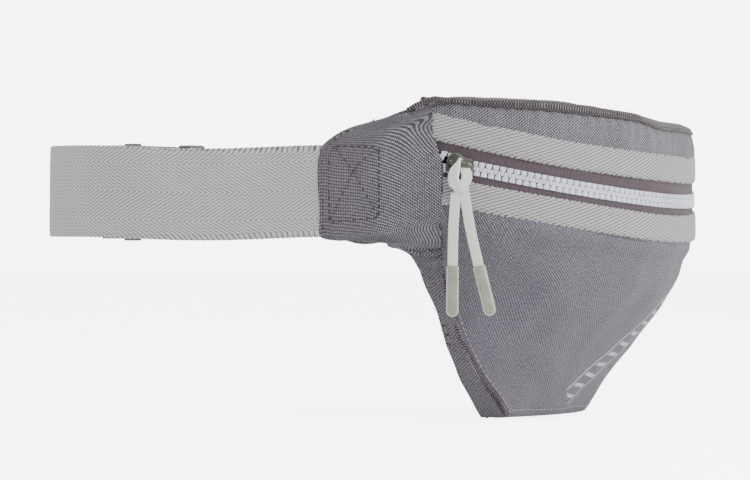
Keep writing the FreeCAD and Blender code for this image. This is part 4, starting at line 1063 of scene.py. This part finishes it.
def belt_grid(line, sag=lambda steps: 0 * steps):
    """Rows up the webbing on the outer side of a plan line."""
    ahead = unit(np.gradient(line, axis=0))
    outer = np.stack([ahead[:, 1], -ahead[:, 0]], axis=1)
    steps = reach_along(line)
    calm = np.clip((steps - 30) / 25, 0, 1) * np.clip((steps[-1] - 25 - steps) / 25, 0, 1)
    rows = []
    for share in np.linspace(-1, 1, 21):
        cup = 0.8 - 0.25 * share**6
        edge = 0.18 * math.copysign(1, share) * (abs(share) > 0.95)
        z = BELT_LEVEL + share * BELT_HALF + sag(steps) + edge * np.sin(steps * 2 * math.pi / 2.3)
        x, y = (line + outer * (cup + 0.5 * np.sin(steps * 0.045 + 0.6 * share) * calm)[:, None]).T
        rows.append(np.stack([x, y, z], axis=-1))
    return np.array(rows) * MM


def side_sag(steps):
    return -1.5 * np.sin(math.pi * np.clip((steps + BELT_INSIDE - 38) / 110, 0, 1)) ** 2


def refined(line):
    """The same plan line with a point at every mm."""
    reach = reach_along(line)
    at = np.arange(0, reach[-1], 1.0)
    return np.stack([np.interp(at, reach, line[:, i]) for i in range(2)], axis=-1)


for side, word, end in ((-1, "left", -27.5), (1, "right", 12.5)):
    line = refined(belt_line(side, end))[BELT_INSIDE:]
    if side < 0:
        grid = belt_grid(line[::-1], lambda steps, total=len(line): side_sag(total - steps))
    else:
        grid = belt_grid(line, side_sag)
    piece = shell(f"belt_webbing_{word}", grid, 1.6 * MM, BELT)
    finish_piece(piece, "pack", [f"belt_{word}"])

# The free tail lies outside the other ply, mirrored about the turn of the right belt.
TAIL_CENTRE, TAIL_RADIUS = TURN_CENTRE * [-1, 1], TURN_RADIUS + 2 * PLY
tail_line = [np.array([x, BUCKLE_Y + PLY]) for x in np.linspace(22, 99.78, 60)]
for angle in np.radians(np.linspace(0, 68, 40))[1:]:
    tail_line.append(TAIL_CENTRE + TAIL_RADIUS * np.array([math.sin(angle), math.cos(angle)]))
tail_line = refined(np.array(tail_line))
tail_grid = belt_grid(tail_line[::-1])
tail = shell("belt_free_tail", tail_grid, 1.6 * MM, BELT)
end_line = refined(tail_line[-14:] + (tail_line[-14:] - TAIL_CENTRE) * (1.7 / TAIL_RADIUS))
fold_grid = belt_grid(end_line[::-1])
fold_piece = shell("tail_fold", fold_grid, 1.5 * MM, BELT)
finish_piece(join("belt_free_end", [tail, fold_piece]), "pack", ["belt_tail"])


def bar_tack(x, y, facing):
    """A dense zigzag of thread across the webbing."""
    rows = []
    for level in np.arange(BELT_LEVEL - 16.5, BELT_LEVEL + 17, 1.05):
        points = [mm(x - 2.1, y, level), mm(x, y, level + 0.5), mm(x + 2.1, y, level)]
        lifts = [(0, facing, 0)] * 3
        rows.append(stitches("row", points, lifts, THREAD_LIGHT, 6.0, 3.4, 0.24, 0.03))
    return rows


tacks = bar_tack(-41.5, 182.5, 1) + bar_tack(-41.5, 180.8, -1)
finish_piece(join("belt_tacks", tacks), "pack")

# ---- keeper ----

KEEPER_X = 60
KEEPER_DEEP, KEEPER_HIGH, KEEPER_CORNER = 2.75, 20.3, 1.1
loop = []
for y_side, z_side, start in ((1, 1, 0), (-1, 1, 90), (-1, -1, 180), (1, -1, 270)):
    for angle in np.radians(np.linspace(start, start + 90, 9)):
        y = y_side * KEEPER_DEEP + math.cos(angle) * KEEPER_CORNER
        loop.append((y, z_side * KEEPER_HIGH + math.sin(angle) * KEEPER_CORNER))
dense = []
for here, there in zip(np.array(loop), np.roll(loop, -1, axis=0)):
    gap = np.linalg.norm(there - here)
    for share in np.linspace(0, 1, max(int(gap / 0.8), 1), endpoint=False):
        dense.append(here * (1 - share) + there * share)
dense = np.array(dense)
around = reach_along(dense)
away = np.roll(dense, -1, axis=0) - np.roll(dense, 1, axis=0)
away = unit(np.stack([away[:, 1], -away[:, 0]], axis=1))
section = [(-6.9, 0.0), (-7.0, 0.5), (-6.7, 0.95)]
section += [(t, 1.0 + 0.16 * math.cos(t * math.pi / 1.2)) for t in np.linspace(-6.2, 6.2, 40)]
section += [(6.7, 0.95), (7.0, 0.5), (6.9, 0.0)]
keeper_verts, keeper_cloth = [], []
for offset, lift in section:
    for i, point in enumerate(dense):
        y, z = point + away[i] * (lift - 0.5)
        keeper_verts.append(mm(KEEPER_X + offset, BUCKLE_Y + y, BELT_LEVEL + z))
        keeper_cloth.append((offset * MM, around[i] * MM, 0))
keeper_faces = [(b, a, d, c) for a, b, c, d in ring_faces(len(section), len(dense), closed=True)]
keeper_piece = make_piece("keeper_band", keeper_verts, keeper_faces, ELASTIC, keeper_cloth)
finish_piece(keeper_piece, "keeper", ["keeper_loop"])

# ---- slider ----

SLIDER_TURN = math.radians(-71.9)  # round the zip
SLIDER_FRAME = (
    ZIP_FRAME
    @ Matrix.Rotation(SLIDER_TURN, 4, "Z")
    @ Matrix.Translation(mm(ZIP_RADIUS, 0, 0))
    @ Matrix.Rotation(-LEAN, 4, "Y")
)


def on_slider(first, second, height):
    """Along the zip, across it, and out from it."""
    return SLIDER_FRAME @ mm(height, first, second)


def smooth_line(points, count):
    """A smooth line of count points through a few."""
    return through(points, np.arange(len(points)), np.linspace(0, len(points) - 1, count))


HALF_PLAN = [
    (-5.75, 0), (-5.6, 1.6), (-5.0, 3.1), (-3.8, 4.35), (-2.3, 4.85), (-0.9, 4.7),
    (0.4, 4.1), (1.7, 3.65), (3.2, 3.55), (5.5, 3.5), (5.7, 3.3),
]  # fmt: skip
half_smooth = smooth_line(HALF_PLAN, 36)
plate_plan = [tuple(p) for p in half_smooth[1:]] + [(x, -y) for x, y in half_smooth[:0:-1]]
plate_plan.append((-5.75, 0.0))
outer_plate = slab("plate", plate_plan, 1.6, 3.0, 0.45, METAL, on_slider)
inner_plate = slab("plate", plate_plan, -2.8, -1.6, 0.45, METAL, on_slider)
slider_bits = [outer_plate, inner_plate]
WEDGE = [
    (-5.2, -0.5), (-4.6, -1.3), (-2.6, -1.1), (-1.6, -0.2),
    (-1.6, 0.2), (-2.6, 1.1), (-4.6, 1.3), (-5.2, 0.5),
]  # fmt: skip
slider_bits.append(slab("wedge", WEDGE, -2.0, 2.0, 0.2, METAL, on_slider))
rim_line = [(x, abs(y)) for x, y in half_smooth[9:30]]
for edge, _ in SIDES:
    outline = [(x, edge * (y - 0.05)) for x, y in rim_line]
    outline += [(x, edge * (y - 0.85)) for x, y in reversed(rim_line)]
    for low, high in ((0.9, 2.2), (-2.2, -0.9)):
        slider_bits.append(slab("flange", outline, low, high, 0.2, METAL, on_slider))
finish_piece(join("slider_plates", slider_bits), "slider", ["slider_body"])

SPINE = [
    (-4.6, 2.7), (-4.3, 4.4), (-3.3, 6.0), (-1.6, 6.75), (0.6, 6.7),
    (2.8, 6.35), (4.4, 5.3), (5.1, 3.9), (5.2, 2.7),
]  # fmt: skip
RIDGE = [(-5.2, 2.9), (-3, 3.05), (0, 3.1), (3, 3.05), (5.4, 2.9)]
bridge_points = [on_slider(x, 0, out) for x, out in smooth_line(SPINE, 40)]
widths = [1.2 * MM * (1 + 0.5 * abs(2 * i / 39 - 1) ** 3) for i in range(40)]
across_zip = SLIDER_FRAME.to_3x3() @ Vector((0, 0, 1))
bridge = tube("bridge", bridge_points, widths, METAL, 16, squash=(0.72, 1.25), up=across_zip)
ridge_points = [on_slider(x, 0, out) for x, out in RIDGE]
ridge = tube("ridge", ridge_points, 0.5 * MM, METAL, 10, squash=(0.5, 3.2), up=across_zip)
finish_piece(join("slider_arch", [bridge, ridge]), "slider", ["slider_bridge"])

# ---- pull ----

BAR_OUT = 6.4
BAR = SLIDER_FRAME @ mm(BAR_OUT, 0, 0)
zip_way = SLIDER_FRAME.to_3x3() @ Vector((0, 1, 0))
along_pull = Vector((zip_way.x, zip_way.y, 0)).normalized()
away_pull = along_pull.cross(Vector((0, 0, 1)))


def on_pull(away, along, up):
    return BAR + (away_pull * away + along_pull * along + Vector((0, 0, up))) * MM


def ribbon(name, stations, width, thick, material=CORD):
    """A flat cord along points of (away, along, up, lean in degrees, width share)."""
    path = smooth_line(stations, 9 * len(stations))
    line = [on_pull(*place) for place in path[:, :3]]
    leans = np.radians(path[:, 3])
    ways = [away_pull * math.sin(lean) + along_pull * math.cos(lean) for lean in leans]
    return strap(name, line, ways, width * path[:, 4], [thick] * len(path), material)


loop_stations = [
    (0.9, -0.6, -10.5, 10, 1.0), (1.6, -2.0, -8.6, 22, 1.06), (2.2, -2.7, -6.3, 24, 1.08),
    (2.0, -2.2, -3.8, 16, 1.0), (1.7, -1.2, -1.5, 0, 0.72), (1.2, -0.2, 0.9, 0, 0.3),
    (0.0, 0.1, 1.4, 0, 0.3), (-1.2, 0.3, 0.9, 0, 0.5), (-1.0, 1.5, -1.4, -4, 0.85),
    (0.2, 2.6, -3.6, -14, 1.04), (1.1, 3.0, -6.0, -22, 1.06), (1.2, 2.2, -8.4, -20, 1.0),
    (0.6, 1.0, -10.5, -8, 1.0),
]  # fmt: skip
loop_piece = ribbon("pull_loop", loop_stations, 4.5, 1.9)
finish_piece(loop_piece, "pull", ["pull_cord_loop"])

WRAP_FRONT = [
    (0.2, -3.2, -8.3, 60, 0.9), (1.9, -2.6, -8.9, 30, 1.0), (2.9, -0.4, -9.9, 5, 1.0),
    (2.5, 1.8, -11.0, -25, 1.0), (0.9, 2.9, -11.7, -60, 0.9),
]  # fmt: skip
WRAP_BACK = [
    (0.9, 2.9, -11.7, -120, 0.9), (-0.9, 1.9, -10.9, -160, 1.0), (-1.5, -0.4, -9.8, 180, 1.0),
    (-1.0, -2.4, -8.9, 150, 1.0), (0.2, -3.2, -8.3, 120, 0.9),
]  # fmt: skip
KNOT_CORE = [
    (0.6, -0.9, -7.6, 0, 0.8), (0.8, -0.3, -9.2, 0, 1.15),
    (0.8, 0.2, -11.0, 0, 1.2), (0.7, 0.4, -13.2, 0, 1.05),
]  # fmt: skip
knot_bits = [
    ribbon("wrap_front", WRAP_FRONT, 3.6, 1.5),
    ribbon("wrap_back", WRAP_BACK, 3.6, 1.4),
    ribbon("core", KNOT_CORE, 4.6, 2.6),
]
knot_piece = join("pull_knot_wraps", knot_bits)
finish_piece(knot_piece, "pull", ["pull_knot"])

ROUTES = {
    "left": [(0.6, -1.6, -12.6), (1.4, -2.4, -22), (1.2, -2.9, -33), (0.9, -3.0, -44.4)],
    "right": [(0.6, 2.0, -12.6), (1.4, 3.4, -22), (1.4, 5.5, -33), (1.2, 8.3, -44.4)],
}
CORD_WIDTH, CORD_THICK = 4.4, 1.5


def spline_points(points, order=3):
    """The points that a NURBS spline with these control points follows."""
    curve = bpy.data.curves.new("route", "CURVE")
    curve.dimensions = "3D"
    spline = curve.splines.new("NURBS")
    spline.points.add(len(points) - 1)
    for control, point in zip(spline.points, points):
        control.co = (*point, 1)
    spline.order_u = order
    spline.use_endpoint_u = True
    spline.resolution_u = 14
    holder = bpy.data.objects.new("route", curve)
    bpy.context.scene.collection.objects.link(holder)
    bpy.context.view_layer.update()
    mesh = bpy.data.meshes.new_from_object(holder.evaluated_get(bpy.context.evaluated_depsgraph_get()))
    line = [v.co.copy() for v in mesh.vertices]
    bpy.data.objects.remove(holder)
    return line


def dipped(name, start, ahead, first, last, count, width, thick, corner, material, power):
    """A straight flat tip, from first to last mm past the cord's end, with a round outer end."""
    line = [start + ahead * place * MM for place in np.linspace(first, last, count)]
    left = (last - first) * (1 - np.arange(count) / (count - 1))
    taper = np.sqrt(np.maximum(1 - np.maximum(1 - left / corner, 0) ** 2, 0.02))
    thicknesses = thick * np.minimum(taper * 1.3, 1)
    return strap(name, line, [along_pull] * count, width * taper, thicknesses, material, 24, power)


for word, route in ROUTES.items():
    points = [on_pull(*p) for p in route]
    line = spline_points(points)
    count = len(line)
    ways, widths, thicknesses = [along_pull] * count, [CORD_WIDTH] * count, [CORD_THICK] * count
    tail_cord = strap(f"pull_tail_{word}", line, ways, widths, thicknesses, CORD)
    finish_piece(tail_cord, "pull", [f"pull_cord_{word}"])
    ahead = (points[-1] - points[-2]).normalized()
    tip_bits = [
        dipped("tip", points[-1], ahead, -0.6, 20.6, 36, 4.3, 2.6, 2.3, TIP, 0.62),
        dipped("rim", points[-1], ahead, -0.3, 21.2, 44, 5.3, 1.5, 2.6, TIP_RIM, 0.7),
    ]
    tip_piece = join(f"cord_tip_{word}", tip_bits)
    finish_piece(tip_piece, "pull", [f"pull_tip_{word}"])
    tuple(points[0])
    0.032 if word == "left" else 0.0325
    [tuple(p) for p in line]

# ---- buckle: the moulded pieces keep their own shape ----

for node in ("buckle_socket", "buckle_plug", "buckle_arm_upper", "buckle_arm_lower"):
    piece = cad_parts[node]
    for material_slot in piece.material_slots:
        material_slot.material = PLASTIC

# ---- floor, light ----

# The camera sees the floor and the backdrop brighter than they light the object.
FLOOR_GLOW, BACKDROP_GLOW, STUDIO_LIGHT = 5.6, 6.0, 0.72
FLOOR_HALF, FLOOR_GAP = 6.0, 0.0006

floor_mesh = bpy.data.meshes.new("floor")
floor_corners = [
    (x * FLOOR_HALF, y * FLOOR_HALF, cad_low.z - FLOOR_GAP)
    for x, y in ((-1, -1), (1, -1), (1, 1), (-1, 1))
]
floor_mesh.from_pydata(floor_corners, [], [(0, 1, 2, 3)])
floor = bpy.data.objects.new("floor", floor_mesh)
bpy.context.scene.collection.objects.link(floor)
floor_paint = Paint("floor", 0.8, 0.1)
floor_paint.colour(rgb(252, 252, 252))
floor_paint.shader.inputs["Emission Color"].default_value = (1.0, 1.0, 1.0, 1.0)
floor_rays = floor_paint.nodes.new("ShaderNodeLightPath")
floor_glow = floor_paint.math("MULTIPLY", floor_rays.outputs["Is Camera Ray"], FLOOR_GLOW)
floor_paint.put(floor_glow, floor_paint.shader.inputs["Emission Strength"])
floor_mesh.materials.append(floor_paint.material)

world = bpy.data.worlds.new("studio")
bpy.context.scene.world = world
world.use_nodes = True
world.node_tree.nodes["Background"].inputs["Color"].default_value = (1.0, 1.0, 1.0, 1.0)
world_rays = world.node_tree.nodes.new("ShaderNodeLightPath")
world_glow = world.node_tree.nodes.new("ShaderNodeMath")
world_glow.operation = "MULTIPLY_ADD"
world_glow.inputs[1].default_value = BACKDROP_GLOW
world_glow.inputs[2].default_value = STUDIO_LIGHT
world.node_tree.links.new(world_rays.outputs["Is Camera Ray"], world_glow.inputs[0])
world.node_tree.links.new(world_glow.outputs[0], world.node_tree.nodes["Background"].inputs["Strength"])


def softbox(name, place, target, width, height, power):
    data = bpy.data.lights.new(name, "AREA")
    data.shape = "RECTANGLE"
    data.size, data.size_y, data.energy = width, height, power
    lamp = bpy.data.objects.new(name, data)
    bpy.context.scene.collection.objects.link(lamp)
    lamp.location = place
    lamp.rotation_euler = (Vector(target) - Vector(place)).to_track_quat("-Z", "Y").to_euler()


softbox("key", (-1.1, -1.0, 1.3), (0, 0, 0), 0.9, 0.9, 14)
softbox("side", (0.3, -1.7, 0.7), (0, 0, 0), 0.9, 1.0, 24)
softbox("back", (-0.6, 1.4, 0.8), (0, 0.05, 0), 1.0, 0.8, 8)
